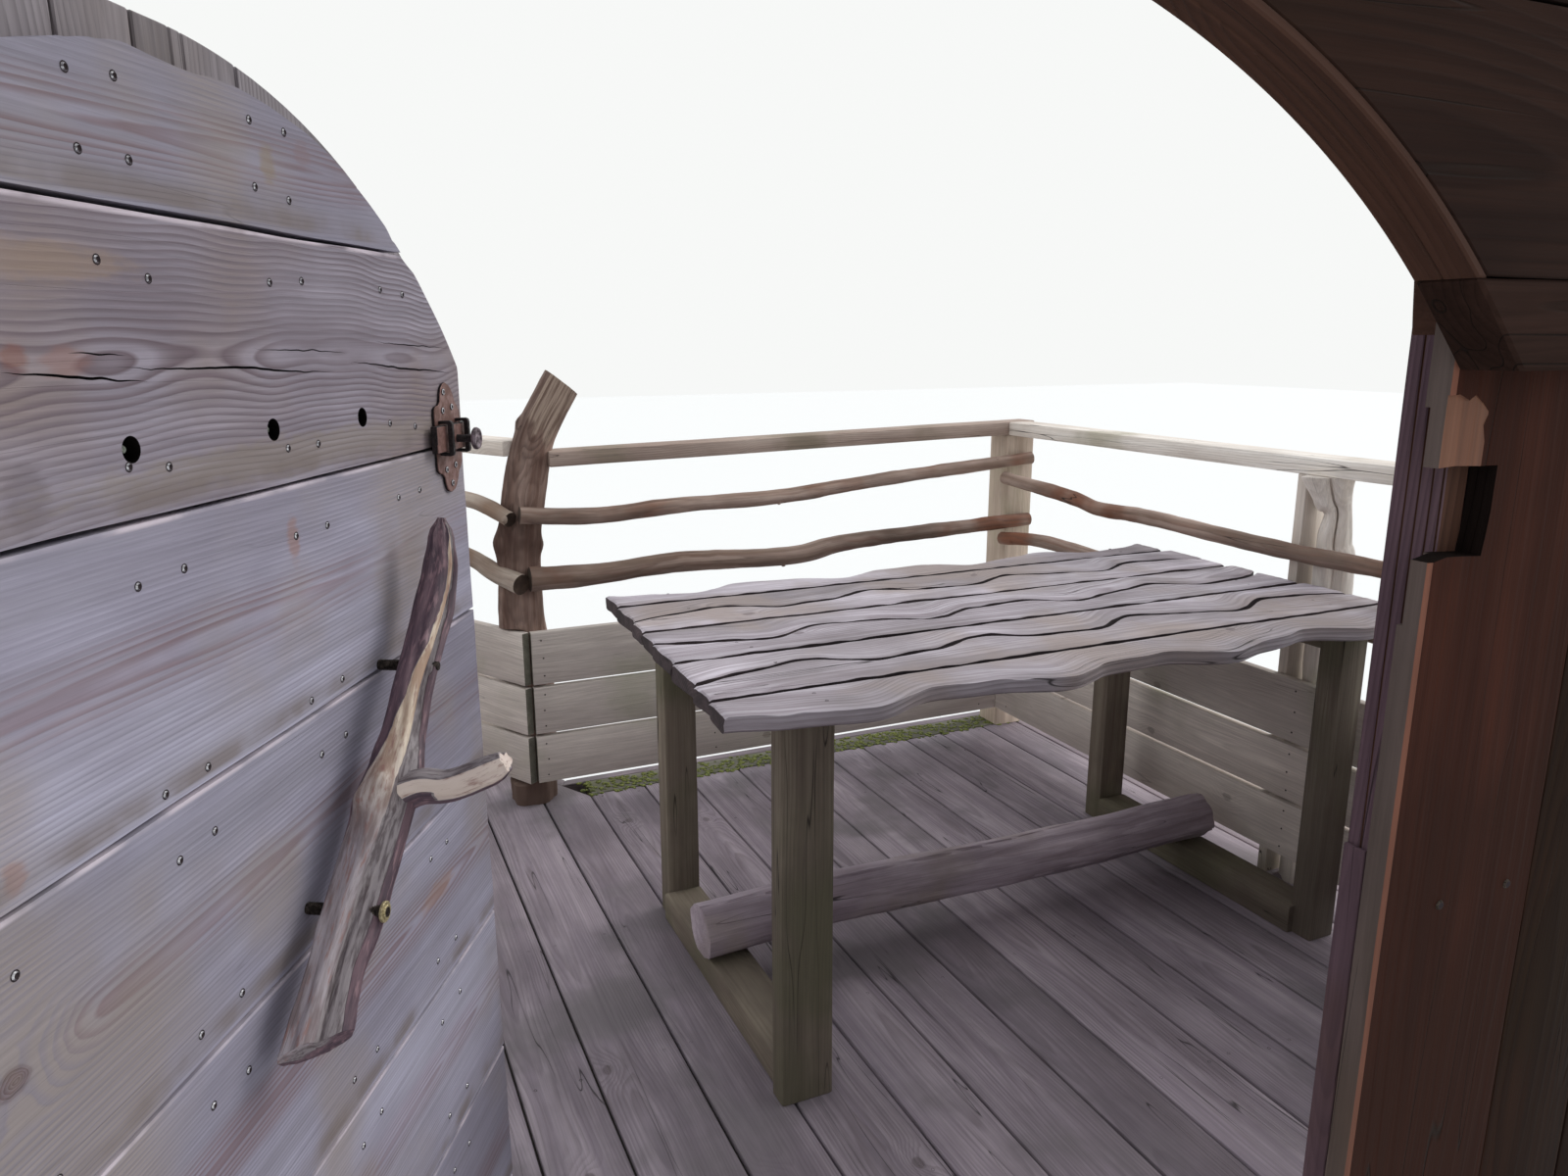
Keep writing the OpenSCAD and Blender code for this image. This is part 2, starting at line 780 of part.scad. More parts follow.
// Forged plate with its keeper, screwed to the leaf's free edge.
module bolt_plate() {
    z = deck_h + bolt_h;
    color("#5e443d") swung() {
        translate([471, leaf_y0, z - 2]) rotate([90, 0, 0]) linear_extrude(4) polygon([
            [-12, 67], [-24, 56], [-29, 42], [-38, 37], [-38, -37], [-29, -42], [-24, -54], [-12, -66],
            [12, -66], [24, -54], [34, -42], [38, -30], [38, 30], [34, 42], [24, 56], [12, 67]
        ]);
        difference() {
            slab(479, 491, bolt_y - 14, leaf_y0 - 4, z - 17, z + 17);
            translate([474, bolt_y, z]) rotate([0, 90, 0]) cylinder(r = bolt_r + 1, h = 24);
        }
    }
}

// The sliding bolt: a rod with a thumb block and a round end.
module door_bolt() {
    z = deck_h + bolt_h;
    color("#4d3a35") swung() {
        translate([423, bolt_y, z]) rotate([0, 90, 0]) cylinder(r = bolt_r, h = 100);
        slab(430, 456, bolt_y - 13, bolt_y + 11, z - 13, z + 13);
        translate([514, bolt_y, z - 5]) rotate([0, 90, 0]) cylinder(r = 13, h = 10);
    }
}

// Offset of a live edge at x: two waves of different length.
function live_edge(x) = 24 * sin(360 * (x - 750) / 420) + 7 * sin(360 * x / 190 + 40);

// Edge line of the table, wavy on the even joints and straight on the odd ones.
function table_edge(i, x) = joint_y[i]
    + (i % 2 == 0 ? live_edge(x) * (i == 0 ? 1 : 1.1) * (i % 4 == 0 ? 1 : -1) : 0);

// Eight planks whose joints are straight and wavy by turns, with ends that step back to the rear.
module table_top() {
    steps = 56;
    gap = 4;
    color("#9a918d")
    translate([0, 0, deck_h + table_under]) linear_extrude(plank_t)
        for (i = [0:7])
            let (x0 = table_x[0] + 6.4 * i, x1 = table_x[1] - 8 * (1 + sin(170 * i)))
                polygon(concat(
                    [for (k = [0:steps]) let (x = x0 + (x1 - x0) * k / steps) [x, table_edge(i, x) + gap]],
                    [for (k = [steps:-1:0]) let (x = x0 + (x1 - x0) * k / steps)
                        [x, table_edge(i + 1, x) - gap]]
                ));
}

module table_legs() {
    color("#5d5c47")
    for (x = leg_x, y = leg_y)
        on_deck(x, x + leg_w, y, y + leg_w, 0, table_under);
}

module table_sills() {
    color("#6a695a")
    for (x = leg_x)
        on_deck(x, x + leg_w, leg_y[0] + leg_w, leg_y[1], 0, sill_h);
}

// Cross pieces between the legs that carry the planks.
module table_bearers() {
    color("#5d5c47")
    for (x = leg_x)
        on_deck(x + 25, x + leg_w - 25, leg_y[0] + leg_w, leg_y[1], table_under - bearer_h, table_under);
}

// Rough log that lies on the two sills as a footrest.
module table_footrest() {
    y = 1580;
    z = deck_h + sill_h + 57;
    color("#6f6358") difference() {
        natural_log([[leg_x[0] - 12, y, z], [900, y + 4, z + 5], [1400, y - 4, z - 3],
            [leg_x[1] + leg_w, y, z]], 124, 116, 4);
        table_sills();
    }
}

placed() {
    support_posts();
    deck_beams();
    deck_joists();
    knee_braces();
    rim_boards();
    deck_boards();
    rear_edge_board();
    left_post();
    corner_post();
    right_post();
    side_posts();
    rear_rail();
    right_rail();
    left_rail();
    landing_rail();
    rear_upper_log();
    rear_lower_log();
    right_logs();
    left_logs();
    landing_logs();
    rear_guard_boards();
    right_guard_boards();
    left_guard_boards();
    landing_guard_boards();
    wall_frame();
    left_wall_boards();
    right_wall_boards();
    left_wall_lining();
    right_wall_lining();
    head_boards();
    arch_head();
    arch_rib();
    lining_battens();
    arch_lining_boards();
    corbels();
    door_posts();
    door_casings();
    threshold();
    hinge_pintles();
    table_top();
    table_legs();
    table_sills();
    table_bearers();
    table_footrest();
    door_planks();
    door_outer_boards();
    strap_hinges();
    branch_handle();
    handle_rods();
    bolt_plate();
    door_bolt();
}
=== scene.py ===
import bpy
import bmesh
import math
import random
from mathutils import Matrix, Vector, noise


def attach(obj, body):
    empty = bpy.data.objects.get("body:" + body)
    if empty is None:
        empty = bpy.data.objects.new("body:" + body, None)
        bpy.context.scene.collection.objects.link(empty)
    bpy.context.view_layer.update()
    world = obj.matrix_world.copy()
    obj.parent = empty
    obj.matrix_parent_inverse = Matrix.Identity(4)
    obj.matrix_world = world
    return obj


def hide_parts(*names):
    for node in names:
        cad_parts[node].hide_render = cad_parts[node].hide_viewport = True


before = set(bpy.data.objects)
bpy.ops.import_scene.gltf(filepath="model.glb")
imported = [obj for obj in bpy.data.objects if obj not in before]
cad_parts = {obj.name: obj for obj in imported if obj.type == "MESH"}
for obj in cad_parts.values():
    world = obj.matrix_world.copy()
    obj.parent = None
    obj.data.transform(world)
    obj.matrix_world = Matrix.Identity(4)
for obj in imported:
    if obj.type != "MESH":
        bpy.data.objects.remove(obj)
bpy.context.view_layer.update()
scene = bpy.context.scene

# ---------------------------------------------------------------- camera and studio
# The camera stands inside the cabin, 1.4 m above the deck, and looks out through the doorway.
# Soft light comes from all round, with one broad lamp from the right.
deck_z = 1.9
plan_origin = Vector((-0.565, -1.705, 0.0))


def plan(x, y, z=0.0):
    """Point measured in metres from the doorway's middle, with z above the deck."""
    return Vector((x, y, deck_z + z)) + plan_origin


camera_data = bpy.data.cameras.new("camera")
camera_data.sensor_width = 36.0
camera_data.lens = 24.712
camera_data.clip_start = 0.02
camera = bpy.data.objects.new("camera", camera_data)
scene.collection.objects.link(camera)
camera.location = plan(-0.1604, -0.45, 1.40)
heading, pitch, roll = math.radians(-24.183), math.radians(90 - 13.066), math.radians(-0.147)
camera.matrix_world = (Matrix.Translation(camera.location) @ Matrix.Rotation(heading, 4, "Z")
                       @ Matrix.Rotation(pitch, 4, "X") @ Matrix.Rotation(roll, 4, "Z"))
scene.camera = camera

world = bpy.data.worlds.new("studio")
scene.world = world
world.use_nodes = True
nodes, links = world.node_tree.nodes, world.node_tree.links
nodes.clear()
path = nodes.new("ShaderNodeLightPath")
soft = nodes.new("ShaderNodeBackground")
soft.inputs["Color"].default_value = (0.93, 0.96, 1.0, 1)
soft.inputs["Strength"].default_value = 1.05
seen = nodes.new("ShaderNodeBackground")
seen.inputs["Color"].default_value = (0.93, 0.94, 0.93, 1)
seen.inputs["Strength"].default_value = 1.0
mix = nodes.new("ShaderNodeMixShader")
out = nodes.new("ShaderNodeOutputWorld")
either = nodes.new("ShaderNodeMath")
either.operation = "MAXIMUM"
links.new(path.outputs["Is Camera Ray"], either.inputs[0])
links.new(path.outputs["Is Glossy Ray"], either.inputs[1])
links.new(either.outputs[0], mix.inputs[0])
links.new(soft.outputs[0], mix.inputs[1])
links.new(seen.outputs[0], mix.inputs[2])
links.new(mix.outputs[0], out.inputs[0])

sun_data = bpy.data.lights.new("key", "SUN")
sun_data.energy = 1.3
sun_data.angle = math.radians(28)
sun_data.color = (1.0, 0.98, 0.95)
key = bpy.data.objects.new("key", sun_data)
key.rotation_euler = Vector((0.83, 0.12, 0.54)).to_track_quat("Z", "Y").to_euler()
scene.collection.objects.link(key)

floor_mesh = bpy.data.meshes.new("floor")
floor_mesh.from_pydata([(-60, -60, 0), (60, -60, 0), (60, 60, 0), (-60, 60, 0)], [], [(0, 1, 2, 3)])
floor = bpy.data.objects.new("floor", floor_mesh)
scene.collection.objects.link(floor)
pale = bpy.data.materials.new("pale_floor")
pale.use_nodes = True
pale.node_tree.nodes["Principled BSDF"].inputs["Base Color"].default_value = (0.80, 0.80, 0.78, 1)
pale.node_tree.nodes["Principled BSDF"].inputs["Roughness"].default_value = 0.9
floor_mesh.materials.append(pale)
scene.view_settings.view_transform = "Standard"

# ---------------------------------------------------------------- deck boards
# Larch boards laid from the cabin out over the terrace, a narrow and a wide one by turns, weathered
# to a dark grey brown. Each is screwed to every joist, and dark strips of painted shade sit low in the narrow gaps.


def add_node(tree, kind, inputs=None, **settings):
    """Adds a node; each input is given as a value or as the socket that feeds it."""
    node = tree.nodes.new(kind)
    for key_name, value in settings.items():
        setattr(node, key_name, value)
    for key_name, value in (inputs or {}).items():
        socket = node.inputs[key_name]
        if isinstance(value, bpy.types.NodeSocket):
            tree.links.new(value, socket)
        else:
            socket.default_value = value
    return node


def maths(tree, operation, *values):
    return add_node(tree, "ShaderNodeMath", dict(enumerate(values)), operation=operation).outputs[0]


def vectors(tree, operation, *values):
    return add_node(tree, "ShaderNodeVectorMath", dict(enumerate(values)), operation=operation).outputs[0]


def steps(tree, value, low, high, to_low=0.0, to_high=1.0):
    """Value between low and high turned smoothly into to_low ... to_high."""
    return add_node(tree, "ShaderNodeMapRange", {0: value, 1: low, 2: high, 3: to_low, 4: to_high},
                    interpolation_type="SMOOTHSTEP").outputs[0]


def blended(tree, amount, under, over, mode="MIX"):
    """Colour over laid on colour under by the amount."""
    colours = {0: amount, 6: under, 7: over}
    return add_node(tree, "ShaderNodeMix", colours, data_type="RGBA", blend_type=mode).outputs[2]


def paint(code):
    """Linear colour of an sRGB hex code."""
    parts = [int(code[i:i + 2], 16) / 255 for i in (1, 3, 5)]
    return tuple(c / 12.92 if c <= 0.04045 else ((c + 0.055) / 1.055) ** 2.4 for c in parts) + (1.0,)


def grain_noise(tree, place, scale, detail=2.0, roughness=0.5):
    """Noise stretched along the grain; scale is per metre along, across and through the board."""
    stretched = vectors(tree, "MULTIPLY", place, scale)
    return add_node(tree, "ShaderNodeTexNoise", {"Vector": stretched, "Scale": 1.0, "Detail": detail,
                                                 "Roughness": roughness})


# Growth rings, fibres, knots and cracks of a board, from its own grain coordinates: x along the
# board, y across it and z through it, in metres.
weathered_grain = bpy.data.node_groups.new("weathered_grain", "ShaderNodeTree")
for socket_name, kind, start in (("Grain", "Vector", None), ("Board", "Float", 0.5), ("Ring Size", "Float", 0.006),
                                 ("Arches", "Float", 0.1), ("Swing", "Float", 1.25), ("Heart Depth", "Float", 0.05),
                                 ("Knots", "Float", 0.3), ("Cracks", "Float", 0.5)):
    socket = weathered_grain.interface.new_socket(socket_name, in_out="INPUT", socket_type="NodeSocket" + kind)
    if start is not None:
        socket.default_value = start
for socket_name in ("Rings", "Heart", "Fibres", "Streaks", "Weather", "Knot", "Crack", "Height"):
    weathered_grain.interface.new_socket(socket_name, in_out="OUTPUT", socket_type="NodeSocketFloat")
tree = weathered_grain
given = add_node(tree, "NodeGroupInput").outputs
own_place = add_node(tree, "ShaderNodeVectorMath", {0: given["Board"], 1: (31.7, 7.3, 13.1), 2: given["Grain"]},
                     operation="MULTIPLY_ADD").outputs[0]
parts = add_node(tree, "ShaderNodeSeparateXYZ", {0: given["Grain"]}).outputs
flat = add_node(tree, "ShaderNodeSeparateXYZ", {0: own_place}).outputs
swing_scale = add_node(tree, "ShaderNodeCombineXYZ", {0: given["Swing"], 1: 1.1, 2: 1.1}).outputs[0]
wander = add_node(tree, "ShaderNodeSeparateXYZ",
                  {0: grain_noise(tree, own_place, swing_scale, 1.0).outputs["Color"]}).outputs
knot_place = add_node(tree, "ShaderNodeCombineXYZ", {0: maths(tree, "MULTIPLY", flat[0], 2.6),
                                                     1: maths(tree, "MULTIPLY", flat[1], 3.8)}).outputs[0]
ragged = vectors(tree, "SUBTRACT", grain_noise(tree, own_place, (34, 46, 46), 2.0).outputs["Color"], (0.5, 0.5, 0.5))
knot_place = vectors(tree, "ADD", knot_place, vectors(tree, "MULTIPLY", ragged, (0.035, 0.035, 0.0)))
knot_cells = add_node(tree, "ShaderNodeTexVoronoi", {"Vector": knot_place, "Scale": 1.0},
                      voronoi_dimensions="2D")
has_knot = maths(tree, "LESS_THAN", add_node(
    tree, "ShaderNodeSeparateXYZ", {0: knot_cells.outputs["Color"]}).outputs[0], given["Knots"])
knot_pull = maths(tree, "MULTIPLY", has_knot, steps(tree, knot_cells.outputs["Distance"], 0.0, 0.27, 1.0, 0.0))
across = maths(tree, "ADD", parts[1], maths(tree, "MULTIPLY", given["Heart Depth"], maths(
    tree, "MULTIPLY_ADD", maths(tree, "FRACT", maths(tree, "MULTIPLY", given["Board"], 17.3)), 1.6, -0.8)))
across = maths(tree, "MULTIPLY_ADD", maths(tree, "SUBTRACT", wander[0], 0.5), given["Arches"], across)
through = maths(tree, "ADD", parts[2], given["Heart Depth"])
through = maths(tree, "MULTIPLY_ADD", maths(tree, "SUBTRACT", wander[1], 0.5), given["Arches"], through)
radius = maths(tree, "SQRT", maths(tree, "ADD", maths(tree, "MULTIPLY", across, across),
                                   maths(tree, "MULTIPLY", through, through)))
radius = maths(tree, "MULTIPLY_ADD", maths(tree, "MULTIPLY", knot_pull, knot_pull), 0.022, radius)
turns = maths(tree, "DIVIDE", radius, given["Ring Size"])
near_heart = steps(tree, turns, 4.5, 9.0, 1.0, 0.0)
turns = maths(tree, "MULTIPLY_ADD", grain_noise(tree, own_place, (4, 22, 22), 3.0).outputs[0], 0.9, turns)
late_wood = add_node(tree, "ShaderNodeValToRGB", {0: maths(tree, "FRACT", turns)})
for position, level in ((0.30, 0.06), (0.66, 0.75), (0.86, 1.0)):
    late_wood.color_ramp.elements.new(position).color = (level, level, level, 1)
late_wood.color_ramp.elements[0].color = late_wood.color_ramp.elements[-1].color = (0, 0, 0, 1)
rings = maths(tree, "MULTIPLY", late_wood.outputs[0], steps(
    tree, grain_noise(tree, own_place, (2.5, 9, 9), 2.0).outputs[0], 0.3, 0.62, 0.35, 1.0))
fibres = grain_noise(tree, own_place, (7, 330, 330), 3.0, 0.6).outputs[0]
streaks = steps(tree, grain_noise(tree, own_place, (1.1, 42, 42), 3.0, 0.55).outputs[0], 0.3, 0.7)
weather = steps(tree, grain_noise(tree, own_place, (1.7, 4.5, 4.5), 5.0, 0.62).outputs[0], 0.32, 0.68)
knot = maths(tree, "MULTIPLY", has_knot, steps(tree, knot_cells.outputs["Distance"], 0.028, 0.044, 1.0, 0.0))
knot = maths(tree, "MULTIPLY", knot, maths(tree, "MULTIPLY_ADD", maths(
    tree, "FRACT", maths(tree, "MULTIPLY", knot_cells.outputs["Distance"], 130.0)), 0.6, 0.4))
split = maths(tree, "ABSOLUTE", maths(tree, "SUBTRACT", grain_noise(tree, own_place, (1.3, 30, 30), 1.0).outputs[0], 0.5))
split = steps(tree, split, 0.0, 0.006, 1.0, 0.0)
split_where = steps(tree, grain_noise(tree, own_place, (1.6, 6, 6), 1.0).outputs[0], 0.5, 0.58)
crack = maths(tree, "MULTIPLY", maths(tree, "MULTIPLY", split, split_where), given["Cracks"])
height = maths(tree, "MULTIPLY_ADD", rings, 0.35, maths(tree, "MULTIPLY", fibres, 0.5))
height = maths(tree, "MULTIPLY_ADD", streaks, 0.25, height)
height = maths(tree, "MULTIPLY_ADD", crack, -2.2, height)
results = {"Rings": rings, "Heart": near_heart, "Fibres": fibres, "Streaks": streaks, "Weather": weather, "Knot": knot,
           "Crack": crack, "Height": height}
add_node(tree, "NodeGroupOutput", results)


def weathered_wood(name, pale, middle, dark, ring, stain="#6b5a50", stained=0.0, ring_size=0.006, arches=0.1,
                   heart=0.05, swing=1.25, knots=0.3, cracks=0.6, figure=0.6, relief=0.0011, roughness=0.82, moss=0.0,
                   gloss=0.3, flush=0.0):
    """Weathered timber: streaks, patches, rings, knots and cracks; flush colours the rings at the heart."""
    wood = bpy.data.materials.new(name)
    wood.use_nodes = True
    tree = wood.node_tree
    shader = tree.nodes["Principled BSDF"]
    grain = add_node(tree, "ShaderNodeAttribute", attribute_name="grain").outputs["Vector"]
    board = add_node(tree, "ShaderNodeAttribute", attribute_name="board").outputs["Fac"]
    pattern = add_node(tree, "ShaderNodeGroup", node_tree=weathered_grain)
    tree.links.new(grain, pattern.inputs["Grain"])
    tree.links.new(board, pattern.inputs["Board"])
    for socket_name, value in (("Ring Size", ring_size), ("Arches", arches), ("Heart Depth", heart), ("Swing", swing),
                               ("Knots", knots), ("Cracks", cracks)):
        pattern.inputs[socket_name].default_value = value
    look = pattern.outputs
    colour = blended(tree, look["Streaks"], paint(middle), paint(pale))
    colour = blended(tree, maths(tree, "MULTIPLY", look["Weather"], 0.75), colour, paint(dark))
    place = add_node(tree, "ShaderNodeTexCoord").outputs["Object"]
    blotches = add_node(tree, "ShaderNodeTexNoise", {"Vector": place, "Scale": 3.1, "Detail": 4.0}).outputs[0]
    if stained:
        colour = blended(tree, steps(tree, blotches, 0.56 - 0.14 * stained, 0.72 - 0.1 * stained, 0.0, 0.9),
                         colour, paint(stain))
    ring_tone = blended(tree, steps(tree, blotches, 0.38, 0.56), paint(ring), paint(dark))
    if flush:
        ring_tone = blended(tree, maths(tree, "MULTIPLY", look["Heart"], flush), paint(dark), paint(ring))
        warm = maths(tree, "MULTIPLY", look["Heart"], steps(tree, blotches, 0.40, 0.60, flush * 0.2, 0.0))
        colour = blended(tree, warm, colour, paint(ring))
    colour = blended(tree, maths(tree, "MULTIPLY", look["Rings"], figure), colour, ring_tone)
    fine = add_node(tree, "ShaderNodeMapRange", {0: look["Fibres"], 1: 0.25, 2: 0.75, 3: 0.84, 4: 1.14}).outputs[0]
    tone = maths(tree, "MULTIPLY", fine, maths(tree, "MULTIPLY_ADD", board, 0.22, 0.89))
    colour = blended(tree, 1.0, colour, add_node(tree, "ShaderNodeCombineXYZ", {0: tone, 1: tone, 2: tone}).outputs[0],
                     "MULTIPLY")
    knot_tone = blended(tree, look["Fibres"], paint("#2f221d"), paint(ring))
    colour = blended(tree, maths(tree, "MULTIPLY", look["Knot"], 0.75), colour, knot_tone)
    colour = blended(tree, maths(tree, "MULTIPLY", look["Crack"], 0.85), colour, paint("#1d1815"))
    if moss:
        patch = add_node(tree, "ShaderNodeTexNoise", {"Vector": place, "Scale": 9.0, "Detail": 5.0,
                                                      "Roughness": 0.65}).outputs[0]
        colour = blended(tree, steps(tree, patch, 0.62 - 0.25 * moss, 0.72 - 0.1 * moss, 0.0, 0.85), colour,
                         blended(tree, look["Streaks"], paint("#4d5231"), paint("#5f6440")))
    tree.links.new(colour, shader.inputs["Base Color"])
    tree.links.new(maths(tree, "MULTIPLY_ADD", look["Fibres"], 0.14, roughness - 0.07), shader.inputs["Roughness"])
    shader.inputs["Specular IOR Level"].default_value = gloss
    bump = add_node(tree, "ShaderNodeBump", {"Strength": 0.75, "Distance": relief, "Height": look["Height"]})
    tree.links.new(bump.outputs[0], shader.inputs["Normal"])
    return wood


# Boards of one size, side by side: each runs along X, the row runs along Y and the upper face looks
# along Z. Every board gets its own small unevenness, and its grain coordinates for the finish.
board_row = bpy.data.node_groups.new("board_row", "GeometryNodeTree")
board_row.interface.new_socket("Boards", in_out="OUTPUT", socket_type="NodeSocketGeometry")
for socket_name, kind, start in (("Count", "Int", 1), ("Pitch", "Float", 0.15), ("Length", "Float", 1.0),
                                 ("Width", "Float", 0.14), ("Thickness", "Float", 0.025), ("Rounding", "Float", 0.003),
                                 ("Unevenness", "Float", 0.002), ("Seed", "Int", 1), ("Finish", "Material", None)):
    socket = board_row.interface.new_socket(socket_name, in_out="INPUT", socket_type="NodeSocket" + kind)
    if start is not None:
        socket.default_value = start
tree = board_row
given = add_node(tree, "NodeGroupInput").outputs
section = add_node(tree, "GeometryNodeCurvePrimitiveQuadrilateral", {"Width": given["Width"], "Height": given["Thickness"]})
section = add_node(tree, "GeometryNodeFilletCurve", {"Curve": section.outputs[0], "Radius": given["Rounding"], "Count": 2},
                   mode="POLY")
middle_line = add_node(tree, "GeometryNodeCurvePrimitiveLine", {
    "End": add_node(tree, "ShaderNodeCombineXYZ", {0: given["Length"]}).outputs[0]})
middle_line = add_node(tree, "GeometryNodeResampleCurve", {"Curve": middle_line.outputs[0], "Length": 0.07},
                       mode="LENGTH")
one_board = add_node(tree, "GeometryNodeCurveToMesh", {"Curve": middle_line.outputs[0], "Profile Curve": section.outputs[0],
                                                       "Fill Caps": True})
one_board = add_node(tree, "GeometryNodeStoreNamedAttribute", {
    "Geometry": one_board.outputs[0], "Name": "grain", "Value": add_node(tree, "GeometryNodeInputPosition").outputs[0]},
    data_type="FLOAT_VECTOR", domain="POINT")
first_middle = add_node(tree, "ShaderNodeCombineXYZ", {
    1: maths(tree, "MULTIPLY", given["Width"], 0.5), 2: maths(tree, "MULTIPLY", given["Thickness"], 0.5)})
spots = add_node(tree, "GeometryNodeMeshLine", {
    "Count": given["Count"], "Start Location": first_middle.outputs[0],
    "Offset": add_node(tree, "ShaderNodeCombineXYZ", {1: given["Pitch"]}).outputs[0]}, mode="OFFSET")
row = add_node(tree, "GeometryNodeInstanceOnPoints", {"Points": spots.outputs[0], "Instance": one_board.outputs[0]})
own_number = add_node(tree, "FunctionNodeRandomValue", {"Seed": given["Seed"]}, data_type="FLOAT").outputs[1]
row = add_node(tree, "GeometryNodeStoreNamedAttribute", {"Geometry": row.outputs[0], "Name": "board", "Value": own_number},
               data_type="FLOAT", domain="INSTANCE")
row = add_node(tree, "GeometryNodeRealizeInstances", {0: row.outputs[0]})
board_number = add_node(tree, "GeometryNodeInputNamedAttribute", {"Name": "board"}, data_type="FLOAT").outputs[0]
here = add_node(tree, "GeometryNodeInputPosition").outputs[0]
bend_place = add_node(tree, "ShaderNodeVectorMath", {0: board_number, 1: (53.0, 17.0, 29.0), 2: here},
                      operation="MULTIPLY_ADD").outputs[0]
bend = add_node(tree, "ShaderNodeTexNoise", {"Vector": bend_place, "Scale": 2.3, "Detail": 1.0}).outputs["Color"]
bend = vectors(tree, "MULTIPLY", vectors(tree, "SUBTRACT", bend, (0.5, 0.5, 0.5)), (0.0, 1.0, 1.0))
bend = add_node(tree, "ShaderNodeVectorMath", {0: bend, "Scale": given["Unevenness"]}, operation="SCALE").outputs[0]
row = add_node(tree, "GeometryNodeSetPosition", {"Geometry": row.outputs[0], "Offset": bend})
row = add_node(tree, "GeometryNodeSetMaterial", {"Geometry": row.outputs[0], "Material": given["Finish"]})
add_node(tree, "NodeGroupOutput", {0: row.outputs[0]})


def grown(tree, values, source=None):
    """Mesh that a node tree makes with the given inputs, from a source mesh if it takes one."""
    mesh = source or bpy.data.meshes.new("start")
    host = bpy.data.objects.new("host", mesh)
    scene.collection.objects.link(host)
    modifier = host.modifiers.new("grow", "NODES")
    modifier.node_group = tree
    for socket in tree.interface.items_tree:
        if socket.in_out == "INPUT" and socket.name in values:
            modifier[socket.identifier] = values[socket.name]
    bpy.context.view_layer.update()
    result = bpy.data.meshes.new_from_object(host.evaluated_get(bpy.context.evaluated_depsgraph_get()))
    bpy.data.objects.remove(host)
    bpy.data.meshes.remove(mesh)
    return result


def boards(place, finish, length, width, thickness, count=1, pitch=0.0, rounding=0.003, uneven=0.002, seed=1):
    """A row of boards, put in its place by a matrix."""
    mesh = grown(board_row, {"Count": count, "Pitch": pitch, "Length": length, "Width": width, "Seed": seed,
                             "Thickness": thickness, "Rounding": rounding, "Unevenness": uneven, "Finish": finish})
    mesh.transform(place)
    return mesh


# Ways in which a board lies: the axes name where its length, its row and its face point.
along_y = Matrix.Rotation(math.radians(90), 4, "Z")
upright = Matrix(((0, 1, 0, 0), (0, 0, 1, 0), (1, 0, 0, 0), (0, 0, 0, 1)))
on_edge_x = Matrix.Rotation(math.radians(90), 4, "X")
on_edge_y = Matrix(((0, 0, 1, 0), (1, 0, 0, 0), (0, 1, 0, 0), (0, 0, 0, 1)))


def at(x, y, z=0.0):
    return Matrix.Translation(plan(x, y, z))


def cut_off(mesh, point, away, finish=None):
    """Saws off what lies beyond the point in direction away, and closes the cut, in a finish of its own if one is
    given.
    """
    work = bmesh.new()
    work.from_mesh(mesh)
    everything = work.verts[:] + work.edges[:] + work.faces[:]
    cut = bmesh.ops.bisect_plane(work, geom=everything, plane_co=point, plane_no=away, clear_outer=True)
    rim = [e for e in cut["geom_cut"] if isinstance(e, bmesh.types.BMEdge)]
    ends = bmesh.ops.holes_fill(work, edges=rim, sides=0)["faces"]
    if finish:
        mesh.materials.append(finish)
        for face in ends:
            face.material_index = len(mesh.materials) - 1
    work.to_mesh(mesh)
    work.free()
    return mesh


def joined(name, meshes, body="terrace", stands_for=(), bevel=0.0):
    """One piece out of several meshes, riding on its body in place of the nodes it stands for."""
    work = bmesh.new()
    finishes = []
    for mesh in meshes:
        for finish in mesh.materials:
            if finish not in finishes:
                finishes.append(finish)
        numbers = [finishes.index(finish) for finish in mesh.materials]
        first = len(work.faces)
        work.from_mesh(mesh)
        work.faces.ensure_lookup_table()
        for face in work.faces[first:]:
            face.material_index = numbers[face.material_index] if numbers else 0
    whole = bpy.data.meshes.new(name)
    work.to_mesh(whole)
    work.free()
    for finish in finishes:
        whole.materials.append(finish)
    for mesh in meshes:
        bpy.data.meshes.remove(mesh)
    piece = bpy.data.objects.new(name, whole)
    scene.collection.objects.link(piece)
    if bevel:
        worn = piece.modifiers.new("worn", "BEVEL")
        worn.width = bevel
        worn.segments = 1
        worn.limit_method = "ANGLE"
        worn.angle_limit = math.radians(50)
        bpy.context.view_layer.update()
        finished = bpy.data.meshes.new_from_object(piece.evaluated_get(bpy.context.evaluated_depsgraph_get()))
        piece.modifiers.clear()
        piece.data = finished
        bpy.data.meshes.remove(whole)
        finished.name = name
    piece.data.shade_smooth()
    piece.data.set_sharp_from_angle(angle=math.radians(32))
    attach(piece, body)
    if stands_for:
        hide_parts(*stands_for)
    return piece


